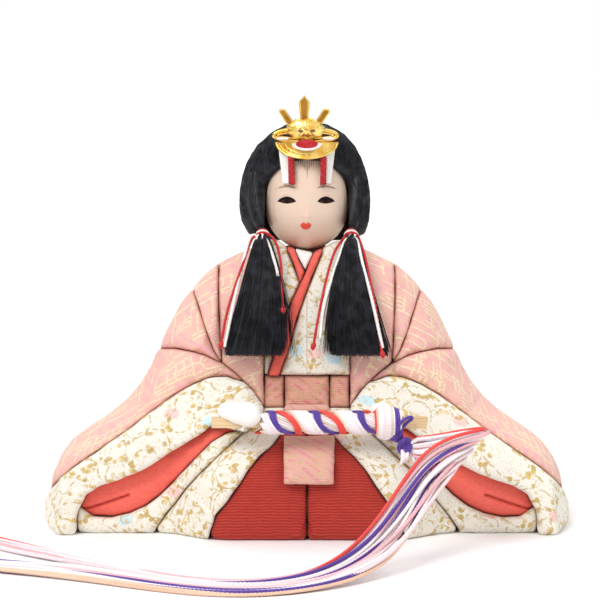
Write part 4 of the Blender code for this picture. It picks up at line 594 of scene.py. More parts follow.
for cord_name, cord_colour, cord_shade in (
    ("cord_red", (0.86, 0.075, 0.060), (0.66, 0.038, 0.032)),
    ("cord_purple", (0.105, 0.045, 0.34), (0.055, 0.022, 0.20)),
    ("cord_white", (0.95, 0.90, 0.91), (0.88, 0.79, 0.82)),
    ("cord_blush", (0.95, 0.76, 0.78), (0.88, 0.66, 0.69)),
    ("cord_pink", (0.94, 0.50, 0.54), (0.82, 0.38, 0.42)),
    ("cord_peach", (0.92, 0.60, 0.44), (0.80, 0.46, 0.32)),
    ("cord_beige", (0.80, 0.68, 0.55), (0.66, 0.53, 0.41)),
):
    FINISHES[cord_name] = thread(cord_name, cord_colour, cord_shade)


# Strands and ropes along paths

def path_tree(name, twisted):
    """A tree that turns curves into strands, or into a rope of twisted plies."""
    tree = bpy.data.node_groups.new(name, "GeometryNodeTree")
    for word, kind in (("Geometry", "Geometry"), ("Radius", "Float"), ("Ply pitch", "Float"),
                       ("Step", "Float"), ("Plies", "Int"), ("Finish", "Material")):
        tree.interface.new_socket(word, in_out="INPUT", socket_type=f"NodeSocket{kind}")
    tree.interface.new_socket("Geometry", in_out="OUTPUT", socket_type="NodeSocketGeometry")
    start = tree.nodes.new("NodeGroupInput").outputs
    ends = {"Curve": start["Geometry"], "Fill Caps": True}
    if twisted:
        curves = add_node(tree, "GeometryNodeResampleCurve", {"Curve": start["Geometry"], "Length": start["Step"]},
                          mode="LENGTH")
        along = add_node(tree, "GeometryNodeSplineParameter", out=1)
        tilt = along.reckoned("DIVIDE", along, start["Ply pitch"]) * math.tau
        ends["Curve"] = add_node(tree, "GeometryNodeSetCurveTilt", {"Curve": curves, "Tilt": tilt})
        ends["Profile Curve"] = add_node(tree, "GeometryNodeCurveStar", {
            "Points": start["Plies"], "Inner Radius": Value(start["Radius"]) * 0.84, "Outer Radius": start["Radius"]})
    else:
        share = add_node(tree, "GeometryNodeSplineParameter")
        ends["Scale"] = add_node(tree, "ShaderNodeMapRange", {0: share, 1: 0.75, 2: 1.0, 3: 1.0, 4: 0.35})
        ends["Curve"] = add_node(tree, "GeometryNodeSetCurveRadius", {"Curve": start["Geometry"],
                                                                      "Radius": ends["Scale"]})
        ends["Profile Curve"] = add_node(tree, "GeometryNodeCurvePrimitiveCircle",
                                         {"Resolution": 3, "Radius": start["Radius"]}, mode="RADIUS")
    mesh = add_node(tree, "GeometryNodeCurveToMesh", ends)
    for kind in ("SetShadeSmooth", "RealizeInstances"):
        mesh = add_node(tree, f"GeometryNode{kind}", {"Geometry": mesh})
    mesh = add_node(tree, "GeometryNodeSetMaterial", {"Geometry": mesh, "Material": start["Finish"]})
    tree.links.new(mesh.socket, tree.nodes.new("NodeGroupOutput").inputs["Geometry"])
    return tree


STRANDS = path_tree("strands", False)
ROPES = path_tree("ropes", True)


def along_paths(name, paths, tree, finish, **values):
    """A mesh piece made by a tree from paths of points."""
    curve = bpy.data.curves.new(name, "CURVE")
    curve.dimensions = "3D"
    for path in paths:
        spline = curve.splines.new("POLY")
        spline.points.add(len(path) - 1)
        spline.points.foreach_set("co", np.hstack([np.asarray(path, float), np.ones((len(path), 1))]).ravel())
    piece = placed(name, curve)
    modifier = piece.modifiers.new("paths", "NODES")
    modifier.node_group = tree
    names = {item.name: item.identifier for item in tree.interface.items_tree if item.in_out == "INPUT"}
    for key, value in {**values, "Finish": FINISHES[finish]}.items():
        modifier[names[key.replace("_", " ")]] = value
    made = plain(piece)
    mended(made.data, weld=False)
    return made


def rope(name, paths, radius, finish, pitch=2.6 * MM, step=0.6 * MM):
    """Ropes of three twisted plies along paths."""
    return along_paths(name, paths, ROPES, finish, Radius=radius, Ply_pitch=pitch, Step=step, Plies=3)


def strands(name, paths, radius):
    """Hair strands along paths."""
    return along_paths(name, paths, STRANDS, "strand", Radius=radius)


# The camera, the lights and the floor

def studio():
    scene = bpy.context.scene
    camera = placed("camera", bpy.data.cameras.new("camera"))
    camera.location = EYE
    camera.rotation_euler = (Vector((CAMERA_X, 0, AIM_HEIGHT)) - EYE).to_track_quat("-Z", "Y").to_euler()
    camera.data.lens = LENS
    camera.data.clip_start = 0.01
    scene.camera = camera
    for name, way, power, spread in (
        ("key", (0.55, 0.85, -1.0), 1.55, 28), ("fill", (-0.8, 1.0, -0.45), 0.35, 50),
        ("rim", (-0.1, -0.7, -1.0), 0.55, 40),
    ):
        light = placed(name, bpy.data.lights.new(name, "SUN"))
        light.data.energy = power
        light.data.angle = math.radians(spread)
        light.rotation_euler = Vector(way).to_track_quat("-Z", "Y").to_euler()
    scene.world = bpy.data.worlds.new("studio")
    scene.world.use_nodes = True
    tree = scene.world.node_tree
    height = add_node(tree, "ShaderNodeSeparateXYZ", {0: add_node(tree, "ShaderNodeTexCoord")}, 2)
    high = add_node(tree, "ShaderNodeMapRange", {0: height, 1: 0.05, 2: 0.75, 3: 0.16, 4: 0.95})
    white = add_node(tree, "ShaderNodeMix", {0: add_node(tree, "ShaderNodeLightPath"), 2: high, 3: 1.0})
    sky = tree.nodes["Background"]
    tree.links.new(white.socket, sky.inputs[1])
    sky.inputs[0].default_value = (1, 1, 1, 1)
    scene.view_settings.view_transform = "Standard"
    floor = from_faces("floor", [(-6, -6, 0), (6, -6, 0), (6, 6, 0), (-6, 6, 0)], [(0, 1, 2, 3)], "floor")


studio()

# Free cords: each colour is five twisted silk cords along one route.
CORD_STEP = 6.0 * MM
CORD_FLOOR = 1.1 * MM
FINE_CORD = 0.80 * MM
FINE_STEP = 1.5 * MM
LAYER = 1.1 * MM
DRIFT_TURNS = 1.6
TURN_DRIFT = 3.0 * MM
KNOT_INSIDE = (0.0396, -0.0624, 0.0385)
LAID = {
    "cord_red": ("cord_white", "cord_blush", "cord_white", "cord_pink", "cord_red"),
    "cord_white": ("cord_blush", "cord_white", "cord_pink", "cord_white", "cord_purple"),
    "cord_purple": ("cord_white", "cord_blush", "cord_purple", "cord_white", "cord_blush"),
    "cord_pink": ("cord_white", "cord_purple", "cord_blush", "cord_white", "cord_pink"),
    "cord_peach": ("cord_peach", "cord_peach", "cord_purple", "cord_blush", "cord_white"),
}
# From the knot to the floor in millimetres: the middle of the bundle, and the step to the next colour
CORD_RUN = (
    (43.2, -62.5, 37.2, 0.0, 0.0, 2.4), (50.0, -64.5, 38.0, 0.6, 0.0, 2.5), (57.5, -66.5, 39.8, 1.6, 0.0, 2.7),
    (64.0, -72.0, 41.4, 2.8, 0.0, 2.8), (65.5, -79.5, 41.6, 3.3, 0.0, 2.9), (61.0, -86.0, 40.8, 2.2, 0.0, 3.1),
    (53.5, -90.0, 38.5, 0.0, 0.3, 3.2), (46.5, -93.5, 34.0, -1.1, 0.8, 2.9), (41.0, -98.0, 27.0, -1.6, 1.2, 2.4),
    (36.0, -104.0, 19.0, -2.2, 1.8, 1.8), (29.0, -113.0, 10.5, -2.2, 2.8, 1.1), (18.0, -126.0, 4.5, -1.8, 3.4, 0.4),
    (3.0, -140.0, 1.1, -0.8, 4.0, 0.0), (-16.0, -151.0, 1.1, 0.0, 4.2, 0.0), (-35.0, -150.0, 1.1, 1.2, 4.0, 0.0),
    (-52.0, -140.0, 1.1, 1.8, 3.6, 0.0),
)
# Each colour's place across the bundle, and the rest of its route on the floor in millimetres
CORDS = {
    "cord_red": (2, ((-65, -118), (-83, -99), (-99, -85), (-111.5, -72.5), (-122.5, -60), (-133, -50))),
    "cord_white": (1, ((-67, -121.5), (-85, -104), (-101, -92), (-115, -79), (-126, -66.5), (-134.5, -56.5))),
    "cord_purple": (0, ((-69, -126.5), (-86, -114), (-104, -106), (-120, -101), (-135, -98))),
    "cord_pink": (-1, ((-70, -132), (-87, -121), (-105, -112), (-121, -106), (-136, -103))),
    "cord_peach": (-2, ((-71, -137.5), (-88, -128), (-106, -119), (-122, -113), (-137, -109))),
}


def free_cords():
    """Each colour's bundle: five fine cords side by side, drifting over one another."""
    run = np.array(CORD_RUN) * MM
    for name, (place_across, rest) in CORDS.items():
        floor = [(x * MM, y * MM, CORD_FLOOR) for x, y in rest]
        middle = smooth_run([*(run[:, :3] + place_across * run[:, 3:]), *floor], CORD_STEP)
        along = np.gradient(middle, axis=0)
        along /= np.linalg.norm(along, axis=1)[:, None]
        shares = np.linspace(0, 1, len(run) + len(rest))[:len(run)]
        at = np.linspace(0, 1, len(middle))
        spread = np.stack([np.interp(at, shares, run[:, 3 + k]) for k in range(3)], 1)
        gap = np.linalg.norm(spread, axis=1)
        spread -= (spread * along).sum(1)[:, None] * along
        spread /= np.linalg.norm(spread, axis=1)[:, None]
        above = np.cross(along, spread)
        above *= np.sign(above[:, 2] + 1e-9)[:, None]
        gathered = 0.35 + 0.65 * np.clip(at / 0.06, 0, 1)
        turns = at * DRIFT_TURNS * math.tau
        late = 0.5 * np.clip((at[1:-1, None] - 0.22) / 0.10, 0, 1)
        for number, finish in enumerate(LAID[name]):
            sway = 0.75 * np.sin(turns + 1.9 * number + 2.3 * place_across) * np.clip(at / 0.05, 0, 1)
            lift = LAYER * (0.5 + 0.5 * np.cos(turns * 0.8 + 2.0 * number + place_across))
            offset = (number - 2 + sway) * gap / 5 * gathered
            path = middle + offset[:, None] * spread + lift[:, None] * above
            aside = TURN_DRIFT * math.sin(2.4 * number + 3.1 * place_across)
            path[:, 0] += aside * np.exp(-((at - 0.15) / 0.07) ** 2)
            path[:, 2] = np.maximum(path[:, 2] - (CORD_FLOOR - FINE_CORD), FINE_CORD + lift)
            for share in [0.5] * 4 + [late] * 10:
                path[1:-1] += share * ((path[:-2] + path[2:]) / 2 - path[1:-1])
            path[:, 2] = np.maximum(path[:, 2], FINE_CORD)
            path = smooth_run([KNOT_INSIDE, *path], FINE_STEP)
            piece = rope(f"{name}_{number}", [path], FINE_CORD, finish)
            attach(piece, "fan")
            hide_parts(name)


free_cords()

# Cloth
ROBE_NODES = ("front_panel", "shoulder_fold", "arm_fold", "sleeve")
BACK_NODES = ("back_robe", "sleeve_back_left", "sleeve_back_right", "back_collar")
CREAM_NODES = ("cuff_band", "cuff_foot", "robe_strip")
CLOTH_NODES = (
    *(f"{stem}_{word}" for word in ("left", "right") for stem in (
        *ROBE_NODES, *CREAM_NODES, "cuff_lining", "hakama", "chest", "belt_fold")),
    *BACK_NODES, "collar_long", "collar_short", "inner_collar", "belt", "obi_tail", "obi_roll",
)
FINE, WIDE = 0.55 * MM, 0.75 * MM
SWELL_UNIT, SWELL = 8 * MM, 0.12 * MM
CREASE = ((80, 508.5), (95, 503.5), (112, 498), (129, 492))
CREASE_DEPTH = -0.012
CREASE_PRESS = 1.8 * MM
CREASE_WIDTH = 1.3
# How far the painted shade reaches from the neighbouring cloth: narrow and dark in the grooves, wide and soft around
# them.
GROOVE_SHADE_REACH = 1.9 * MM
SHADE_REACH, SHADE_SHARE = 5.5 * MM, 0.36
PUFF_REACH = 6.0 * MM
TIP_REACH = 3.4 * MM
UNDER_HEIGHT, UNDER_TUCK = 3.2 * MM, 2.0 * MM


def cloth_places(points, back, paired):
    """Places on the cloth, in centimetres, for points of the robe's front or back."""
    lean = LEAN_SHARE * (-1 if back else 1)
    across = np.abs(points[:, 0]) + 0.3 * (points[:, 0] > 0) if paired else points[:, 0] + 0.2
    return CLOTH_UNIT * np.stack([across + lean * points[:, 1], points[:, 2] + lean / 2 * points[:, 1]], 1)


def seen_folded(points):
    """The columns and rows where points are seen, the right half laid over the left."""
    seen = seen_places(points)
    seen[:, 0] = np.minimum(seen[:, 0], 2 * MIDDLE_COLUMN - seen[:, 0])
    return seen


def creased(points):
    """How deep the lining's two creases press each point in."""
    off = seen_folded(points)[:, None] - smooth_run(CREASE, 1.0)[None]
    near = np.min(np.linalg.norm(off, axis=2), axis=1)
    return CREASE_PRESS * np.exp(-(near / CREASE_WIDTH) ** 2) * (points[:, 1] < CREASE_DEPTH)


def distances(beside, points, reach):
    """How far each point lies from the cloth beside it, up to a reach."""
    found = [beside.find_nearest(point, reach) for point in points]
    return np.array([reach if place is None else far for place, _, _, far in found])


def mark_groove_shade(piece, beside, lining):
    """Marks each point by how close it lies to the cloth beside it, 1 close against it and 0 out of reach: how much
    painted shade its colour takes.
    """
    near = distances(beside, [v.co for v in piece.data.vertices], SHADE_REACH)
    share = np.maximum(0.0, 1 - near / GROOVE_SHADE_REACH)
    depth = np.maximum(share * share * (3 - 2 * share), SHADE_SHARE * (1 - near / SHADE_REACH) ** 2)
    # The lining's creases take the same painted shade.
    if lining:
        depth = np.maximum(depth, 0.8 * creased(corners(piece)) / CREASE_PRESS)
    piece.data.attributes.new("groove", "FLOAT", "POINT").data.foreach_set("value", depth)


def padded_cloth(node, finish, voxel=FINE, rounds=4, back=False, puff=0.0):
    """A frame node's cloth form in a fine mesh, softly rounded, with its place on the cloth."""
    piece = rounded(copy_of(node, f"{node}_cloth", finish), voxel, rounds)
    beside = surface_of([frame["nodes"][n] for n in CLOTH_NODES if n != node])
    points, normals = corners(piece), corners(piece, "normal")
    x, y, z = (points / SWELL_UNIT).T
    swell = np.sin(1.9 * x + 2.3 * z) * np.sin(2.7 * y - 1.3 * z) + 0.6 * np.sin(4.1 * z + 3.3 * x + 1.7 * y)
    lift = SWELL * swell
    if finish == "lining":
        lift = lift - creased(points)
        column, row = seen_folded(points).T
        reach = np.clip((101 - column) / 13, 0, 1) * np.clip((row - 505.5) / 3, 0, 1)
        points[:, 0] += np.sign(points[:, 0]) * TIP_REACH * reach
    if puff:
        beyond = 1 - distances(beside, points, PUFF_REACH) / PUFF_REACH
        lift = lift + puff * (1 - beyond ** 2) * (normals[:, 1] < 0)
    points += normals * lift[:, None]
    under = np.clip(1 - points[:, 2] / UNDER_HEIGHT, 0, 1)
    points[:, :2] -= normals[:, :2] * (UNDER_TUCK * (1 - np.sqrt(1 - under * under)))[:, None]
    points[:, 2] = np.maximum(points[:, 2], 0)
    moved(piece, points)
    laid_out(piece, cloth_places(points, back, node.endswith(("left", "right"))))
    mark_groove_shade(piece, beside, finish == "lining")
    return stands_for(piece, node)


def dress():
    for word in ("left", "right"):
        for stem in ROBE_NODES:
            padded_cloth(f"{stem}_{word}", "robe", WIDE if stem == "sleeve" else FINE, 5,
                         puff=0.0 if stem == "front_panel" else 1.0 * MM)
        for stem in CREAM_NODES:
            padded_cloth(f"{stem}_{word}", "cream", rounds=5, puff=0.8 * MM)
        padded_cloth(f"cuff_lining_{word}", "lining", 0.45 * MM, 3, puff=0.6 * MM)
        padded_cloth(f"hakama_{word}", "hakama", rounds=3, puff=0.4 * MM)
        padded_cloth(f"chest_{word}", "cream")
        padded_cloth(f"belt_fold_{word}", "belt")
    for node in BACK_NODES:
        padded_cloth(node, "collar" if node == "back_collar" else "robe", WIDE, back=True)
    for node, finish in (("collar_long", "collar"), ("collar_short", "collar"), ("inner_collar", "white_silk"),
                         ("belt", "belt")):
        padded_cloth(node, finish)
    padded_cloth("obi_tail", "sash", FINE, 16)
    padded_cloth("obi_roll", "sash", 0.4 * MM, 8)


dress()

# Head, face and hair
HEAD_CENTRE = Vector((0, -0.001, 0.1299))
TIE = Vector((0.01818, -0.0140, 0.11965))
HEAD_VOXEL, HAIR_VOXEL = 0.45 * MM, 0.5 * MM
HAIR_STRANDS = 820
STRAND_RADIUS = 0.13 * MM
LEAST_REACH, RAY_START = 12 * MM, 60 * MM
HAIR_LIFT = 0.2 * MM
HAIR_FULLER_LEFT, HAIR_FULLER_RIGHT = 0.8 * MM, -0.8 * MM
FULLER_FROM_X, FULLER_OVER_X = 16 * MM, 9 * MM
FULLER_FROM_Z, FULLER_OVER_Z = 0.118, 8 * MM
HAIR_BEHIND, OPENING_DEPTH = 0.8 * MM, 0.004
# Half widths of the face's opening in the hair, by row
OPENING_ROWS = (158, 164, 170, 178, 187, 207, 227, 246)
OPENING_HALVES = (0, 16, 26.5, 33, 40.0, 41.2, 41.2, 41.2)


def combed_places(points):
    """For points of the hair: the turn about the tie's axis and the angle from it."""
    places = np.empty((len(points), 2))
    for side in (-1, 1):
        axis = np.array((side * TIE.x, TIE.y, TIE.z)) - np.array(HEAD_CENTRE)
        axis /= np.linalg.norm(axis)
        first = np.cross(axis, (0, 0, 1.0))
        first /= np.linalg.norm(first)
        second = np.cross(axis, first)
        mine = points[:, 0] * side >= 0
        way = points[mine] - np.array(HEAD_CENTRE)
        places[mine, 0] = np.arctan2(way @ second, way @ first) + 7 * (side > 0)
        places[mine, 1] = np.arccos(np.clip((way @ axis) / np.linalg.norm(way, axis=1), -1, 1))
    return places


def over_face(point):
    """Whether a point of the hair lies in front of the face's opening."""
    column, row = seen_places(np.array([point]))[0]
    half = np.interp(row, OPENING_ROWS, OPENING_HALVES)
    inside = OPENING_ROWS[0] < row < OPENING_ROWS[-1] and abs(column - MIDDLE_COLUMN) < half
    return point[1] < OPENING_DEPTH and inside


def hair_cap(skin):
    """The combed hair, pushed back behind the skin where the face is open."""
    hair = rounded(copy_of("hair", "hair_cap", "hair"), HAIR_VOXEL, 8)
    points = corners(hair)
    swell = np.clip((np.abs(points[:, 0]) - FULLER_FROM_X) / FULLER_OVER_X, 0, 1)
    swell *= np.clip((points[:, 2] - FULLER_FROM_Z) / FULLER_OVER_Z, 0, 1)
    swell *= np.where(points[:, 0] < 0, HAIR_FULLER_LEFT, HAIR_FULLER_RIGHT)
    points += corners(hair, "normal") * (HAIR_LIFT + swell)[:, None]
    for index, point in enumerate(points):
        if not over_face(point):
            continue
        way = (Vector(point) - EYE).normalized()
        hit = skin.ray_cast(EYE, way)[0]
        behind = EYE + way * (OPENING_DEPTH - EYE.y) / way.y if hit is None else hit + way * HAIR_BEHIND
        if behind.y > point[1]:
            points[index] = behind
    moved(hair, points)
    laid_out(hair, combed_places(points), "comb")
    return stands_for(hair, "hair")


def hair_strands(surface):
    """Strands combed over the cap from its crown towards the two ties."""
    rng = random.Random(7)
    paths = []
    for side in (-1, 1):
        axis = (Vector((side * TIE.x, TIE.y, TIE.z)) - HEAD_CENTRE).normalized()
        first = axis.cross(Vector((0, 0, 1))).normalized()
        second = axis.cross(first)
        for _ in range(HAIR_STRANDS):
            turn = rng.uniform(0, math.tau)
            out = first * math.cos(turn) + second * math.sin(turn)
            lift = rng.uniform(-0.02, 0.16) * MM
            paths.append([])
            for k in range(26):
                angle = math.radians(14 + 5.2 * k)
                way = axis * math.cos(angle) + out * math.sin(angle)
                if way.x * side < 0:
                    break
                hit = surface.ray_cast(HEAD_CENTRE + way * RAY_START, -way)[0]
                if hit is None or (hit - HEAD_CENTRE).dot(way) < LEAST_REACH or over_face(hit):
                    paths.append([])
                else:
                    paths[-1].append(hit + way * lift)
    loose = strands("hair_strands", [path for path in paths if len(path) > 3], STRAND_RADIUS)
    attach(loose, BODY_OF["hair"])


HEAD = stands_for(rounded(copy_of("head", "head_shell", "skin"), HEAD_VOXEL, 14), "head")
SKIN = surface_of([HEAD])
hair_strands(surface_of([hair_cap(SKIN)]))

# How many pixels higher the painted features lie, by row
FACE_ROWS = (176, 186, 210, 216, 224)
FACE_RISES = (0, 0.5, 0.7, 2.2, 1.5)
PAINT_LIFT, PAINT_THICKNESS = 0.05 * MM, 0.06 * MM
UPPER_LIP = ((299.7, 225.3), (301.0, 223.5), (302.7, 222.5), (304.3, 222.9), (305.3, 224.2), (306.3, 222.9),
             (307.9, 222.4), (309.6, 223.4), (310.9, 225.3), (308.6, 226.2), (305.3, 226.5), (302.0, 226.2))
LOWER_LIP = ((300.1, 225.2), (303.0, 224.9), (305.3, 225.2), (307.6, 224.9), (310.5, 225.2), (309.7, 227.2),
             (308.0, 228.8), (305.3, 229.5), (302.6, 228.8), (300.9, 227.2))
NOSE_COLUMN = 305.9
PARTING_COLUMN, PARTING_ROW = 306.6, 156
PARTING_LOWS = (162.5, 165, 167, 170, 177, 169, 166.5, 165, 162)


def on_face(column, row, lift):
    """The point of the face seen at a column and row, lifted off it."""
    near = seen_at(column, row - np.interp(row, FACE_ROWS, FACE_RISES), -0.05)
    hit, normal, _, _ = SKIN.ray_cast(EYE, (near - EYE).normalized())
    return near if hit is None else hit + normal * lift


def painted(name, outline, finish, lift=PAINT_LIFT, rings=5):
    """A thin painted shape on the face, drawn by its outline."""
    outline = np.array(outline, float)
    centre = outline.mean(0)
    count = len(outline)
    front, back = [], []
    for k in range(1, rings + 1):
        for column, row in centre + (outline - centre) * (k / rings):
            front.append(on_face(column, row, lift if k < rings else 0.4 * lift))
            back.append(on_face(column, row, lift - PAINT_THICKNESS))
    points = [on_face(*centre, lift), *front, on_face(*centre, lift - PAINT_THICKNESS), *back]
    skip = len(front) + 1
    faces = []
    for i in range(count):
        j = (i + 1) % count
        faces += [(0, 1 + i, 1 + j), (skip, skip + 1 + j, skip + 1 + i)]
        for k in range(rings - 1):
            a, b = 1 + k * count, 1 + (k + 1) * count
            faces += [(a + i, b + i, b + j, a + j), (skip + a + j, skip + b + j, skip + b + i, skip + a + i)]
        last = 1 + (rings - 1) * count
        faces.append((last + i, skip + last + i, skip + last + j, last + j))
    piece = from_faces(name, points, faces, finish)
    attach(piece, BODY_OF["head"])


def leaf(left, right, upper, lower, steps=10):
    """An outline between two ends, bowed up and down."""
    bow = np.sin(math.pi * np.arange(steps) / steps)
    top = np.linspace(left, right, steps, endpoint=False)
    low = np.linspace(right, left, steps, endpoint=False)
    top[:, 1] -= upper * bow
    low[:, 1] += lower * bow
    return [*top, *low]


def brush(path, width):
    """An outline round a tapering brush stroke."""
    run = smooth_run(path, 1.0)
    half = width / 2 * np.sin(np.pi * (0.04 + 0.92 * np.linspace(0, 1, len(run)))) ** 0.7
    way = np.gradient(run, axis=0)
    way /= np.linalg.norm(way, axis=1)[:, None]
    off = np.stack([way[:, 1], -way[:, 0]], 1) * half[:, None]
    return [*(run + off), *(run - off)[::-1]]


def face():
    """The painted eyes, brows and lips, painted shade over the lids and at the nostrils, and the fine hairs of the
    parting.
    """
    for word, outer, inner in (("left", 277.7, 295.6), ("right", 333.4, 316.6)):
        way = 1 if inner > outer else -1
        middle = (outer + inner) / 2
        ends = ((outer, 200.9), (inner, 201.2))[::way]
        painted(f"eye_{word}", leaf(*ends, 4.5, 2.0), "iris")
        painted(f"pupil_{word}", leaf((middle - 3.4, 200.2), (middle + 3.4, 200.2), 2.8, 2.4), "ink", 0.08 * MM)
        painted(f"lash_{word}", brush([(outer - 0.6 * way, 201.2), (outer + 3.0 * way, 198.4), (middle, 196.6),
                                       (inner - 3.5 * way, 198.0), (inner, 200.9)], 1.3), "ink", 0.09 * MM)
        painted(f"lid_{word}", brush([(outer - way, 199.0), (outer + 4 * way, 195.6), (middle, 194.0),
                                      (inner - 3 * way, 195.6)], 0.7), "shade")
        painted(f"brow_{word}", brush([(outer - 2.4 * way, 188.8), (outer + 3.0 * way, 186.9),
                                       (outer + 9 * way, 185.8), (outer + 14 * way, 186.2), (inner, 187.8)], 1.9),
                "brow", rings=2)
        painted(f"nostril_{word}", brush([(NOSE_COLUMN - 4.2 * way, 217.0), (NOSE_COLUMN - 2.4 * way, 218.2)], 0.9),
                "shade")
    painted("lip_upper", UPPER_LIP, "lip", 0.08 * MM)
    painted("lip_lower", LOWER_LIP, "lip", 0.10 * MM)
    hairs = []
    for place, low in enumerate(PARTING_LOWS, -4):
        hairs.append([on_face(PARTING_COLUMN + 2.0 * place + 0.25 * place * (1 - share),
                              PARTING_ROW + (low - PARTING_ROW) * share, 0.03 * MM)
                      for share in np.linspace(0, 1, 9)])
    forehead = strands("forehead_hairs", hairs, STRAND_RADIUS)
    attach(forehead, BODY_OF["head"])


face()

# Tails of hair and their ties
TIE_COLUMN, TIE_ROW, TIE_DEPTH = 263, 231.5, -0.0140
TAIL_BOTTOM_ROW = 353
TAIL_TOP_HALF_WIDTH, TAIL_TOP_HALF_DEPTH = 3.0 * MM, 2.2 * MM
# At shares of the tail's length: its swing aside and forward, and its width
TAIL_PATH_SHARES = (
    (0.0, 0.0, 0.0, 1.0), (0.07, 0.0, 0.16, 1.2), (0.20, 0.02, 0.42, 1.75), (0.317, 0.05, 0.60, 2.2),
    (0.61, 0.25, 0.82, 3.1), (1.0, 1.0, 1.0, 4.0),
)
TAIL_SIDE_SWING, TAIL_FORWARD_SWING = 4.0 * MM, 26.0 * MM
TAIL_DEPTH_GROWTH = 0.50
TAIL_STRANDS = 560
TAIL_STRAND_RADIUS = 0.14 * MM
TAIL_GROOVES, TAIL_INSET = 0.13 * MM, 0.25 * MM
STRAY_SHARE = 0.22
STRAY_DRIFT = (0.10, 0.44)
TIE_ROPES = {"braid": 0.62 * MM, "braid_white": 0.74 * MM}
BULB_STEP = 0.55 * MM
BULB_WIDTHS = (0.5, 0.95, 1.2, 1.3, 1.15, 0.8, 0.3)
# Ends of the ties: column, row and lift off the tail in millimetres
TIE_ENDS = {
    "left": {
        "braid": (
            ((261, 234, 0.8), (253, 237, 1.2), (242, 266, 0.9), (228.8, 306, 0.7), (221.8, 341, 0.6)),
            ((262, 233, 1.2), (266, 231, 1.6), (275.7, 240, 1.0), (281, 262, 0.7), (281.5, 285, 0.7),
             (283, 306, 0.6)),
            ((259, 237, 1.0), (262, 232.5, 2.2), (266, 231.5, 2.4), (267, 235, 1.6), (263, 238, 1.2)),
        ),
        "braid_white": (
            ((259, 234, 1.2), (251.5, 235, 1.6), (245, 254.6, 1.3), (234.7, 298.6, 1.1), (225.2, 344, 0.9)),
            ((264, 234, 1.4), (268.4, 241, 1.5), (273, 254, 1.3), (276.6, 267, 0.9), (278.0, 274, 0.5)),
            ((257, 238, 1.6), (259, 233, 2.4), (262.5, 232, 2.6), (263, 236, 1.8), (260, 239, 1.4)),
        ),
    },
    "right": {
        "braid": (
            ((350, 234, 0.8), (345, 234.5, 1.3), (334.4, 248.8, 1.2), (325.6, 276.6, 1.0), (318, 313, 0.9),
             (313, 342, 0.8)),
            ((351, 233, 1.2), (356.4, 234, 1.6), (362, 249, 1.3), (367, 270, 1.1), (374, 306, 1.0),
             (380.5, 350, 0.9)),
            ((346, 238, 1.0), (348, 232, 2.4), (350.5, 230.5, 2.6), (352, 234, 1.8), (350, 238.5, 1.4)),
        ),
        "braid_white": (
            ((349, 235, 1.2), (343.5, 240, 1.6), (337, 257.6, 1.5), (328, 285, 1.4), (322.6, 306, 1.3),
             (319.5, 335, 1.1)),
            ((351, 235, 1.3), (356, 239.5, 1.6), (361, 261, 1.4), (370, 295.7, 1.2), (381, 345, 1.0)),
            ((352, 238, 1.6), (353.5, 233, 2.4), (351, 231.5, 2.6), (348.5, 235, 1.8), (350, 239, 1.4)),
        ),
    },
}


def curve_value(shares, at):
    """A smooth value between the rows of a table of (place, value)."""
    table = np.array(shares, float)
    slopes = np.gradient(table[:, 1], table[:, 0])
    at = np.clip(at, table[0, 0], table[-1, 0])
    index = np.clip(np.searchsorted(table[:, 0], at) - 1, 0, len(table) - 2)
    span = table[index + 1, 0] - table[index, 0]
    t = (at - table[index, 0]) / span
    start, end = table[index, 1], table[index + 1, 1]
    rise = (2 * t - 3) * t * t
    return start * (1 + rise) - end * rise + t * (1 - t) * ((1 - t) * slopes[index] - t * slopes[index + 1]) * span


def pinch(t):
    """How far the tie draws the tail in, at a share of its length."""
    return 1 - 0.36 * np.exp(-(np.maximum(t, 0) / 0.055) ** 2)


def tail_at(t):
    """A tail's centre, half width and half depth at a share of its length, left side."""
    rows = np.array(TAIL_PATH_SHARES)
    side, forward, wide = (float(curve_value(rows[:, (0, k)], min(t, 1))) for k in (1, 2, 3))
    centre = seen_at(TIE_COLUMN - side * TAIL_SIDE_SWING / PIXEL, TIE_ROW + (TAIL_BOTTOM_ROW - TIE_ROW) * t,
                     TIE_DEPTH - TAIL_FORWARD_SWING * forward)
    return (np.array(centre), TAIL_TOP_HALF_WIDTH * wide * pinch(t),
            TAIL_TOP_HALF_DEPTH * (1 + TAIL_DEPTH_GROWTH * t))


def tail_frame(t):
    """A tail's centre, half width, half depth and the way off its back."""
    centre, wide, deep = tail_at(t)
    way = tail_at(t + 0.01)[0] - tail_at(max(0, t - 0.01))[0]
    way /= np.linalg.norm(way)
    return centre, wide, deep, np.array((0.0, -way[2], way[1])) / math.hypot(way[1], way[2])


def tail_point(t, across, through):
    """A point of the left tail: across and through it, as shares of its halves."""
    centre, wide, deep, off = tail_frame(t)
    return centre + np.array((across * wide, 0, 0)) + off * (through * deep)


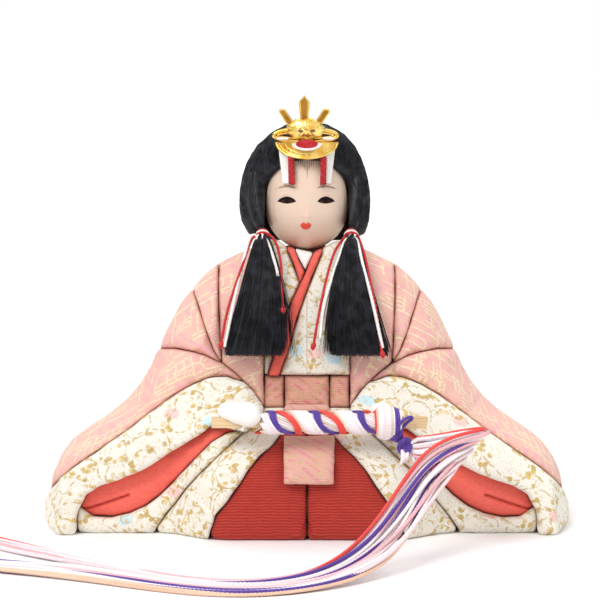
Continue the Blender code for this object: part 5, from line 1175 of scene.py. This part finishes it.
def hair_tail(word, side):
    """One tail: a core of combed hair with fine strands over it, ragged at the end."""
    node = f"hair_tail_{word}"
    core = rounded(copy_of(node, f"{node}_core", "hair"), HAIR_VOXEL, 5)
    points = corners(core)
    steps = np.linspace(0, 1, 40)
    middle = np.array([tail_at(t)[0] for t in steps])
    widths = np.array([tail_at(t)[1] / pinch(t) for t in steps])
    order = np.argsort(middle[:, 2])
    share = np.interp(points[:, 2], middle[order, 2], steps[order])
    centre_x = np.interp(share, steps, middle[:, 0]) * side
    across = (points[:, 0] - centre_x) / np.interp(share, steps, widths)
    laid_out(core, np.stack([across * 0.9, share * 1.5], 1), "comb")
    points[:, 0] = centre_x + (points[:, 0] - centre_x) * pinch(share)
    grooves = np.sin(across * 23) + 0.6 * np.sin(across * 41 + 3 * share) + 0.5 * np.sin(across * 13 + 5)
    lift = TAIL_GROOVES * grooves * np.clip(share * 6, 0, 1) - TAIL_INSET
    moved(core, points + corners(core, "normal") * lift[:, None])
    stands_for(core, node)
    rng = random.Random(11 if side > 0 else 5)
    paths = []
    for _ in range(TAIL_STRANDS):
        turn = rng.uniform(0, math.tau)
        reach = rng.uniform(0.86, 1.03)
        across, through = math.cos(turn) * reach, math.sin(turn) * reach
        end = rng.gauss(0.985, 0.022) - 0.03 * across * across
        drift = rng.gauss(0, 0.05)
        if rng.random() < STRAY_SHARE:
            drift = rng.uniform(*STRAY_DRIFT)
        wave = rng.uniform(0, math.tau)
        path = []
        for t in np.linspace(0.03, min(end, 1.03), 15):
            sway = drift * t + 0.015 * math.sin(7 * t + wave)
            path.append(tail_point(t, across * (1 + 0.05 * t) + sway, through) * (side, 1, 1))
        paths.append(path)
    loose = strands(f"{node}_strands", paths, TAIL_STRAND_RADIUS)
    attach(loose, BODY_OF[node])


def tie_path(pixels, side):
    """A tie's end on the left tail, from its columns, rows and lifts."""
    path = []
    for column, row, lift in pixels:
        column = 2 * MIDDLE_COLUMN - column if side < 0 else column
        centre, wide, deep, off = tail_frame(max(0, (row - TIE_ROW) / (TAIL_BOTTOM_ROW - TIE_ROW)))
        x = seen_at(column, row, centre[1])[0]
        over = math.sqrt(max(0, 1 - ((x - centre[0]) / wide) ** 2))
        depth = (centre - off * (deep * over + lift * MM))[1]
        path.append((x, depth, seen_at(column, row, depth)[2]))
    return smooth_run(path, 0.8 * MM)


def bulb(path, side):
    """The rounded knot at a tie's end."""
    tip = np.array(path[-1])
    way = tip - np.array(path[-3])
    way /= np.linalg.norm(way)
    rings = []
    for k, share in enumerate(BULB_WIDTHS):
        wide = share * 0.85 * MM
        rings.append(ring((tip + way * (k - 2) * BULB_STEP) * (side, 1, 1), (side * wide, 0, 0), (0, wide, 0), 12))
    return lofted("bulb", rings, "braid")


def hair_tie(word, side):
    """A red and white twisted tie: turns round the tail, a small knot, and its hanging ends."""
    node = f"hair_tie_{word}"
    rings = []
    for drop in (0.008, 0.020, 0.032):
        centre, wide, deep, off = tail_frame(drop)
        rings.append(ring(centre, (wide + 0.25 * MM, 0, 0), off * (deep + 0.35 * MM), 25, whole=False))
    turned = {"braid": [rings[0], rings[2]], "braid_white": [rings[1]]}
    pieces = []
    for finish, ends in TIE_ENDS[word].items():
        paths = turned[finish]
        for pixels in ends:
            paths.append(tie_path(pixels, side))
            if pixels[-1][1] > 300 and finish == "braid":
                pieces.append(bulb(paths[-1], side))
        paths = [np.array(path) * (side, 1, 1) for path in paths]
        pieces.append(rope(f"{node}_{finish}", paths, TIE_ROPES[finish], finish, 2.0 * MM, 0.4 * MM))
    stands_for(joined(f"{node}_cords", pieces), node)


for tail_word, tail_side in (("left", 1), ("right", -1)):
    hair_tail(tail_word, tail_side)
    hair_tie(tail_word, tail_side)


# Crown

CREST_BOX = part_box("crown_crest")
CREST_DEPTH = (CREST_BOX[0][1] + CREST_BOX[1][1]) / 2
PLATE_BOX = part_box("crown_plate")
TUFT_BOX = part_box("crown_tuft")
PRONG = ((304, 96.5), (306.6, 99.8), (309.6, 103.2), (309.4, 106), (308.6, 112), (307.9, 118), (307.9, 127))
PRONG_MIDDLE = 304.0
SIDE_PRONG_TOP, SIDE_PRONG_LOW = (325.3, 112.6), (316.5, 125.5)
SIDE_PRONG_HALF = 3.5
# A blade's rings: the share of the way out from its ridge, and the rise off its middle plane
BEVEL = ((1.0, 0.0), (1.0, 0.45), (0.74, 1.0), (0.0, 0.9))
INSET = ((0.62, 0.0), (0.62, 1.04), (0.5, 1.10), (0.0, 1.10))
PRONG_HALF = 1.1 * MM
DISH_SHARE, DISH_RAISE = 0.95, 0.35 * MM
TUFT_RAISE = 0.7 * MM
PLAIT_TURNS, RIBBON_SHARE = 30, 0.88


def blade(name, outline, ridge, depth, half, finish="gilt", steps=BEVEL):
    """A bevelled blade: an outline with a raised panel down both faces."""
    outline = [seen_at(column, row, depth) for column, row in outline]
    ridge = [seen_at(column, row, depth) for column, row in ridge]
    rings = []
    for share, lift in steps:
        near = [min(ridge, key=lambda r: (r - p).length) for p in outline]
        spots = [q + (p - q) * share for p, q in zip(outline, near)]
        rings.append([(s.x, s.y - half * lift, s.z) for s in spots])
    back = [[(x, 2 * depth - y, z) for x, y, z in spots] for spots in rings[1:]]
    return lofted(name, [*back[::-1], *rings], finish, "open", smooth=False)


def panelled(name, outline, ridge, depth, half):
    """A blade with a panel let into its face in a darker gilt: painted shade on the flat face between the bright
    bevels.
    """
    rim = blade(f"{name}_rim", outline, ridge, depth, half)
    return [rim, blade(f"{name}_panel", outline, ridge, depth, half, "gilt_shade", INSET)]


def ridge_of(top, low, steps=8):
    return [(top[0] + (low[0] - top[0]) * k / steps, top[1] + (low[1] - top[1]) * k / steps)
            for k in range(steps + 1)]


def round_ended(top, low, half):
    """The outline of a bar with round ends."""
    way = np.array(low) - np.array(top)
    way = way / np.linalg.norm(way)
    side = np.array((way[1], -way[0]))
    ends = []
    for centre, sign in ((top, -1), (low, 1)):
        for a in np.linspace(0, math.pi, 9):
            spot = np.array(centre) + half * (-sign * side * math.cos(a) + sign * way * math.sin(a))
            ends.append(tuple(spot))
    return ends


def refined(pixels):
    """An outline with a point about every pixel."""
    out = []
    for (x0, y0), (x1, y1) in zip(pixels, [*pixels[1:], pixels[0]]):
        count = max(1, round(math.hypot(x1 - x0, y1 - y0)))
        out += [(x0 + (x1 - x0) * k / count, y0 + (y1 - y0) * k / count) for k in range(count)]
    return out


def hoop(name, centre, half_x, half_z, wire, finish="gilt", lean=0.0, wrap=0.0, turns=(0, math.tau)):
    """A wire along an ellipse, or part of one, bent back at its sides."""
    whole = abs(turns[1] - turns[0] - math.tau) < 1e-6
    count = 64
    rings = []
    for a in np.linspace(*turns, count, endpoint=not whole):
        x, z = half_x * math.cos(a), half_z * math.sin(a)
        out = Vector((math.cos(a) / half_x, 0, math.sin(a) / half_z)).normalized()
        middle = centre + Vector((x, wrap * (x / half_x) ** 2 + lean * z, z))
        rings.append([middle + wire * (math.cos(b) * out + math.sin(b) * Vector((0, 1, 0)))
                      for b in np.linspace(0, math.tau, 10, endpoint=False)])
    return lofted(name, rings, finish, "met" if whole else "capped")


def crest():
    """The crest: three bevelled prongs, a chased boss and the two loops at its sides."""
    outline = [*PRONG, *[(2 * PRONG_MIDDLE - column, row) for column, row in PRONG[::-1][:-1]]]
    pieces = panelled("prong_middle", refined(outline), ridge_of((304, 100.5), (304, 127)), CREST_DEPTH, PRONG_HALF)
    for word, flip in (("right", 1), ("left", -1)):
        side = [(PRONG_MIDDLE + flip * (column - PRONG_MIDDLE), row)
                for column, row in round_ended(SIDE_PRONG_TOP, SIDE_PRONG_LOW, SIDE_PRONG_HALF)]
        line = [(PRONG_MIDDLE + flip * (column - PRONG_MIDDLE), row)
                for column, row in ridge_of(SIDE_PRONG_TOP, SIDE_PRONG_LOW)]
        pieces += panelled(f"prong_{word}", refined(side), line, CREST_DEPTH, PRONG_HALF)
    centre = seen_at(305.5, 129.5, CREST_DEPTH)
    rings = []
    for k in range(25):
        a = -math.pi / 2 + math.pi * k / 24
        ring = []
        for b in np.linspace(0, math.tau, 72, endpoint=False):
            petals = 1 + 0.05 * math.cos(9 * b) * math.sin(math.pi * k / 24) ** 2
            chased = 1 + 0.03 * math.cos(5 * a + 1) + 0.03 * math.cos(16 * b) * math.cos(6 * a)
            ring.append(centre + Vector((7.9 * MM * math.cos(a) * math.cos(b) * petals,
                                         3.5 * MM * math.sin(a) * chased,
                                         4.6 * MM * math.cos(a) * math.sin(b) * petals)))
        rings.append(ring)
    pieces.append(lofted("boss", rings, "gilt"))
    middle = seen_at(305.2, 135.6, CREST_DEPTH)
    pieces.append(hoop("loops_outer", middle, 12.9 * MM, 2.7 * MM, 0.80 * MM))
    pieces.append(hoop("loops_inner", middle + Vector((0, -0.3 * MM, 0)), 11.4 * MM, 1.2 * MM, 0.40 * MM))
    for side in (-1, 1):
        # Two dark spots on the boss: painted shade standing for its chased hollows.
        pieces.append(ball(f"notch_{side}", seen_at(306.4 + side * 5.4, 131.2, CREST_DEPTH - 3.1 * MM),
                           (1.25 * MM, 0.55 * MM, 0.75 * MM), "notch"))
        for k, (column, row, wide, tall) in enumerate(((10.5, 128, 1.3, 1.5), (2.2, 124.5, 1.2, 1.4))):
            spot = seen_at(305.5 + side * column, row, CREST_DEPTH - 3.0 * MM + 0.25 * MM * (k + 1) ** 2)
            pieces.append(hoop(f"curl_{side}_{k}", spot, wide * MM / 2, tall * MM / 2, 0.28 * MM))
    wraps = []
    for side in (-1, 1):
        inner, outer = (seen_at(305.2 + side * column, 138.6, CREST_DEPTH - 1.3 * MM) for column in (17, 28))
        wraps.append([(inner.x + (outer.x - inner.x) * k / 3, inner.y, inner.z) for k in range(4)])
    pieces.append(rope("loop_wraps", wraps, 0.62 * MM, "braid_white", 1.6 * MM, 0.3 * MM))
    stands_for(joined("crest_gilt", pieces), "crown_crest")


def dish():
    """The half-moon dish: a bent sheet with a double rim, chased arcs and beads."""
    top, bottom = PLATE_BOX[1][2], PLATE_BOX[0][2]
    back = PLATE_BOX[0][1] + 1.0 * MM
    half = PLATE_BOX[1][0]

    def surface(x, z, lift=0.0):
        lean = 1.2 * MM * (z - bottom) / (top - bottom)
        return Vector((x, back - 1.05 * MM + 4.5 * MM * (x / half) ** 2 + lean - lift, z))
    sheet = copy_of("crown_plate", "sheet", "gilt")
    points = corners(sheet)
    points[:, 0] *= DISH_SHARE
    points[:, 2] = top + DISH_RAISE - (top - points[:, 2]) * DISH_SHARE
    moved(sheet, points)
    half *= DISH_SHARE
    bottom = top + DISH_RAISE - (top - bottom) * DISH_SHARE
    top += DISH_RAISE
    pieces = [sheet]
    arcs = ((1.0, 0.55, 0.0), (0.90, 0.30, 0.0), (0.72, 0.22, 0.1))
    for number, (share, wire, lift) in enumerate(arcs):
        rings = []
        for a in np.linspace(0.02, math.pi - 0.02, 60):
            x, z = half * share * math.cos(a), top - (top - bottom) * share * math.sin(a)
            middle = surface(x, z, lift * MM)
            out = Vector((math.cos(a), 0, -math.sin(a)))
            rings.append([middle + wire * MM * (math.cos(b) * out + math.sin(b) * Vector((0, 1, 0)))
                          for b in np.linspace(0, math.tau, 8, endpoint=False)])
        pieces.append(lofted(f"rim_{number}", rings, "gilt"))
    for k in range(13):
        a = math.pi * (0.06 + 0.88 * k / 12)
        x, z = half * 0.81 * math.cos(a), top - (top - bottom) * 0.81 * math.sin(a)
        spot = surface(x, z)
        pieces.append(hoop(f"bead_{k}", spot, 0.42 * MM, 0.42 * MM, 0.26 * MM))
    stands_for(joined("dish_gilt", pieces), "crown_plate")


def tuft():
    """The red oval of braid, every other row and the core behind them in a darker red as painted shade, with a white
    crescent below it.
    """
    centre = (Vector(TUFT_BOX[0]) + Vector(TUFT_BOX[1])) / 2
    low = Vector(TUFT_BOX[0])
    centre.y = low.y + 0.8 * MM
    centre.z += TUFT_RAISE
    paths = []
    for share in (1.0, 0.74, 0.48, 0.22):
        paths.append([centre + Vector((4.1 * MM * share * math.cos(a), -0.3 * MM * (1 - share),
                                       1.4 * MM * share * math.sin(a))) for a in np.linspace(0, math.tau, 40)])
    # Every other row in the darker red: painted shade between the rows.
    red = joined("tuft_red_rows", [
        rope(f"tuft_red_{k}", [row], 0.46 * MM, finish, 1.4 * MM, 0.25 * MM)
        for k, (row, finish) in enumerate(zip(paths, ("braid", "braid_painted_shade", "braid", "braid_painted_shade")))])
    # A core behind the rows in the darker red, so the gaps between them show painted shade.
    behind = ball("tuft_core", centre, (4.1 * MM, 0.35 * MM, 1.4 * MM), "braid_painted_shade")
    arcs = []
    for share in (1.0, 0.87, 0.74):
        arcs.append([centre + Vector((5.9 * MM * share * math.cos(a), 0.15 * MM,
                                      0.5 * MM - 2.9 * MM * share * math.sin(a)))
                     for a in np.linspace(0.1, math.pi - 0.1, 40)])
    white = rope("tuft_white_rows", arcs, 0.42 * MM, "braid_white", 1.4 * MM, 0.25 * MM)
    stands_for(joined("tuft_braids", [red, white, behind]), "crown_tuft")


def crown_ribbon(word, side):
    """A white ribbed ribbon with a plait of red braid beside it, its middle strand darker as painted shade."""
    node = f"crown_ribbon_{word}"
    ribbon = rounded(copy_of(node, f"{node}_silk", "white_silk"), 0.22 * MM)
    points = corners(ribbon)
    inner = np.min(np.abs(points[:, 0]))
    points[:, 0] = np.sign(points[:, 0]) * (inner + (np.abs(points[:, 0]) - inner) * RIBBON_SHARE)
    moved(ribbon, points)
    laid_out(ribbon, CLOTH_UNIT * points[:, (2, 0)])
    surface = surface_of([ribbon])
    paths = []
    for phase in (0, math.tau / 3, 2 * math.tau / 3):
        path = []
        for k in range(80):
            share = k / 79
            row = 157 + 26.5 * share
            column = 291.0 + 0.8 * share if side < 0 else 323.0 - 0.5 * share
            sway = math.sin(share * PLAIT_TURNS + phase)
            spot = seen_at(column + 2.4 * sway, row, -0.018)
            hit = surface.ray_cast(Vector((spot.x, -0.1, spot.z)), Vector((0, 1, 0)))[0]
            head = SKIN.ray_cast(Vector((spot.x, -0.1, spot.z)), Vector((0, 1, 0)))[0]
            depths = [h.y for h in (hit, head) if h is not None]
            depth = (min(depths) if depths else -0.018) - 0.55 * MM
            depth += 0.30 * MM * math.sin(2 * (share * PLAIT_TURNS + phase))
            path.append((spot.x, depth, spot.z))
        run = np.array(path)
        run[:, 1] = np.minimum.accumulate(run[::-1, 1])[::-1] * 0.5 + run[:, 1] * 0.5
        paths.append(run)
    # The middle strand in the darker red: painted shade of the plait's crossings.
    plait = [rope(f"{node}_red_{k}", [path], 0.54 * MM, finish, 1.6 * MM, 0.3 * MM)
             for k, (path, finish) in enumerate(zip(paths, ("braid", "braid_painted_shade", "braid")))]
    stands_for(joined(f"{node}_braided", [ribbon, *plait]), node)


crest()
dish()
tuft()
crown_ribbon("left", -1)
crown_ribbon("right", 1)


# Fan, winding and knot

FAN_DEPTH = -0.0610
FAN_ROW = 423
FAN_HEIGHT = seen_at(MIDDLE_COLUMN, FAN_ROW, FAN_DEPTH).z + 1.5 * MM
FAN_ROWS = ((212, 2.1), (222, 2.1), (264, 2.0), (374, 2.0), (398, 2.2), (425, 2.45))
WINDING_RADIUS = 4.25 * MM
WINDING_PITCH = 17.3 * MM
WINDING_SHARE = 0.68
WINDING_SHIFT = 14.8 * PIXEL
WINDING_LEFT_COLUMN, WINDING_RIGHT_COLUMN = 262.5, 373.5
UNDER_RADIUS = 3.3 * MM
UNDER_LAY = 46.0 * MM
WINDING_COLOURS = {
    "winding_red": ("cord_red",) * 4,
    "winding_peach": ("cord_peach", "cord_beige", "cord_white", "cord_blush"),
    "winding_white": ("cord_white",) * 4,
    "winding_pink": ("cord_white", "cord_blush", "cord_white", "cord_white"),
    "winding_purple": ("cord_purple",) * 4,
}
CAD_STRAND_RADIUS = 0.95 * MM
TURN_STEPS = 72


def fan_x(column):
    """How far across the fan a column of the view lies."""
    return seen_at(column, FAN_ROW, FAN_DEPTH)[0]


def fan():
    """The closed fan: thin sticks side by side between two guards."""
    sticks = []
    count = 7
    for k in range(count):
        depth = FAN_DEPTH + (k - (count - 1) / 2) * 0.37 * MM
        guard = k in (0, count - 1)
        rings = []
        for column, half in FAN_ROWS:
            x = fan_x(column)
            half = half * MM * (1.0 if guard else 0.93)
            thick = 0.16 * MM
            edge = 0.10 * MM
            if not guard:
                x += 0.3 * MM * (1 if column < 300 else -1)
            rings.append([(x, depth + y, FAN_HEIGHT + z) for y, z in (
                (-thick, -half + edge), (-thick, half - edge), (-thick + edge, half), (thick - edge, half),
                (thick, half - edge), (thick, -half + edge), (thick - edge, -half), (-thick + edge, -half))])
        sticks.append(lofted(f"stick_{k}", rings, "wood", smooth=False))
    stands_for(joined("fan_slats", sticks), "fan_sticks")


def coil(index, place, radius):
    """One fine cord of the winding: a colour's helix from the hand to the knot."""
    low = fan_x(WINDING_LEFT_COLUMN)
    high = fan_x(WINDING_RIGHT_COLUMN)
    start = fan_x(265)
    first = start - WINDING_SHIFT + CAD_STRAND_RADIUS + index * WINDING_PITCH * WINDING_SHARE / len(WINDING_COLOURS)
    gather = {0: -1, len(WINDING_COLOURS) - 1: 1}.get(index, 0) * (1 - WINDING_SHARE) * WINDING_PITCH * 0.42
    path = []
    step = WINDING_PITCH / TURN_STEPS
    for k in range(math.ceil((low - first) / step), math.floor((high - first) / step)):
        turn = math.tau * k / TURN_STEPS
        x = first + place + step * k + gather * math.sin(turn) ** 2
        path.append((x, FAN_DEPTH - radius * math.cos(turn), FAN_HEIGHT - radius * math.sin(turn)))
    return path


def winding():
    """Each colour of the winding is four fine cords side by side; paler cords run under them."""
    for index, (colour, mixed) in enumerate(WINDING_COLOURS.items()):
        pieces = []
        for number, finish in enumerate(mixed):
            place = (number - (len(mixed) - 1) / 2) * 0.64 * MM
            radius = WINDING_RADIUS + 0.16 * MM * (number % 2)
            pieces.append(rope(f"{colour}_{number}", [coil(index, place, radius)], 0.46 * MM, finish,
                               2.4 * MM, 0.4 * MM))
        stands_for(joined(f"{colour}_cords", pieces), colour)
    low = fan_x(WINDING_LEFT_COLUMN)
    high = fan_x(WINDING_RIGHT_COLUMN + 4)
    pieces = []
    for k in range(20):
        path = []
        for x in np.linspace(low, high, 60):
            turn = math.tau * k / 20 - (x - low) / UNDER_LAY * math.tau
            path.append((x, FAN_DEPTH - UNDER_RADIUS * math.cos(turn), FAN_HEIGHT + UNDER_RADIUS * math.sin(turn)))
        finish = ("cord_white", "cord_blush", "cord_beige")[k % 3]
        pieces.append(rope(f"under_{k}", [path], 0.54 * MM, finish, 2.4 * MM, 0.5 * MM))
    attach(joined("winding_under_cords", pieces), "fan")


def knot():
    """The knot: turns of pale cord, a purple collar and a tied lump from which the cords leave."""
    by_colour = {}

    def turn_round(colour, column, radius, lean):
        x = fan_x(column)
        path = []
        for a in np.linspace(0, math.tau, 33):
            path.append((x + lean * math.cos(a), FAN_DEPTH - radius * math.cos(a),
                         FAN_HEIGHT + radius * math.sin(a)))
        by_colour.setdefault(colour, []).append(path)
    for column, radius, colour in (
        (373.8, 4.1, "cord_red"), (375.6, 5.0, "cord_peach"), (377.6, 5.7, "cord_white"),
        (379.9, 6.15, "cord_white"), (382.2, 6.4, "cord_blush"), (384.5, 6.45, "cord_white"),
        (386.8, 6.3, "cord_white"), (389.0, 6.0, "cord_beige"), (391.0, 5.55, "cord_white"),
        (393.0, 5.5, "cord_purple"), (395.6, 5.1, "cord_purple"), (397.6, 4.4, "cord_white"),
    ):
        turn_round(colour, column, radius * MM, 0.5 * MM)
    lump = (0.0384, -0.0626, 0.0392)
    for k in range(6):
        lean = 0.45 * k
        path = [(lump[0] + 2.5 * MM * math.cos(a) * math.cos(lean) + 0.5 * MM * math.sin(a),
                 lump[1] - 1.0 * MM + 1.2 * MM * math.sin(2 * a + lean) + 1.5 * MM * math.cos(a) * math.sin(lean),
                 lump[2] + 3.1 * MM * math.sin(a)) for a in np.linspace(0, math.tau, 49)]
        by_colour.setdefault("cord_purple", []).append(path)
    for k, finish in enumerate(("cord_white", "cord_blush", "cord_white")):
        low = seen_at(399.5 + 2.2 * k, 461 - 2 * k, -0.0655)
        start = (lump[0] - 1.0 * MM + 1.0 * MM * k, lump[1] - 1.5 * MM, lump[2] - 1.5 * MM)
        middle = ((start[0] + low.x) / 2 + 0.3 * MM, -0.0662, (start[2] + low.z) / 2)
        by_colour.setdefault(finish, []).append(smooth_run([start, middle, tuple(low)], 0.6 * MM))
    loop = [tuple(seen_at(column, row, depth)) for column, row, depth in (
        (396, 429, -0.0655), (398, 421, -0.0668), (402.5, 416.5, -0.0668), (408.5, 413.6, -0.0660),
        (410.5, 415.5, -0.0652), (406, 419, -0.0650), (401, 425, -0.0650), (398.5, 434, -0.0645))]
    by_colour["cord_purple"].append(smooth_run(loop, 0.8 * MM))
    pieces = []
    for colour, paths in by_colour.items():
        pieces.append(rope(f"knot_{colour}", paths, 0.72 * MM, colour, 2.4 * MM, 0.4 * MM))
    core = copy_of("fan_knot", "knot_core", "cord_purple")
    points = corners(core)
    middle = np.array((lump[0], FAN_DEPTH, FAN_HEIGHT))
    points += (middle - points) * np.array((0.10, 0.16, 0.13))
    away = np.linalg.norm(points - np.array(lump), axis=1)
    low = (away < 8 * MM) & (points[:, 2] < FAN_HEIGHT - 2.5 * MM)
    points[low] += (np.array(lump) - points[low]) * 0.50
    moved(core, points)
    pieces.append(core)
    stands_for(joined("knot_cords", pieces), "fan_knot")


fan()
winding()
knot()

# Hands, peg, core and card

def less_block(piece, low, high):
    """The piece with a straight-sided block cut out of it."""
    spots = [(x, y, z) for x in (low[0], high[0]) for y in (low[1], high[1]) for z in (low[2], high[2])]
    block = from_faces("block", spots, [(0, 1, 3, 2), (4, 6, 7, 5), (0, 4, 5, 1), (2, 3, 7, 6), (0, 2, 6, 4),
                                        (1, 5, 7, 3)], None, smooth=False)
    piece = modified(piece, "BOOLEAN", object=block, operation="DIFFERENCE", solver="EXACT")
    bpy.data.objects.remove(block)
    return piece


# The left hand's rounded forms: column, row, depth and half sizes in millimetres
HAND_FORMS = (
    (243.0, 410.0, -0.0605, (7.5, 6.0, 4.7)), (230.6, 408.0, -0.0600, (5.3, 5.2, 3.7)),
    (248.2, 413.0, -0.0625, (5.4, 5.2, 4.3)), (242.6, 426.3, -0.0630, (0.9, 1.8, 0.9)),
    (239.0, 410.0, -0.0530, (7.0, 8.0, 4.2)),
)


def hands():
    """The hands: smooth rounded shells; the left one's thumb lies over the fan."""
    for word in ("left", "right"):
        if word == "left":
            hand = joined("hand_left_shell", [ball("knuckle", seen_at(column, row, depth), [h * MM for h in halves], "hand")
                                              for column, row, depth, halves in HAND_FORMS])
        else:
            hand = copy_of("hand_right", "hand_right_shell", "hand")
        hand = rounded(hand, 0.35 * MM, 16)
        if word == "left":
            low, high = (Vector(p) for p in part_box("fan_sticks"))
            room = Vector((0.0, 0.25, 0.25)) * MM
            right = fan_x(258.5)
            hand = less_block(hand, low - room - Vector((0.01, 0, 0)), (right, high.y + room.y, high.z + room.z))
        stands_for(hand, f"hand_{word}")


hands()
for hard_node, hard_finish in (("neck_peg", "peg"), ("body_core", "peg"), ("base_paper", "card")):
    for slot in frame["nodes"][hard_node].material_slots:
        slot.material = FINISHES[hard_finish]
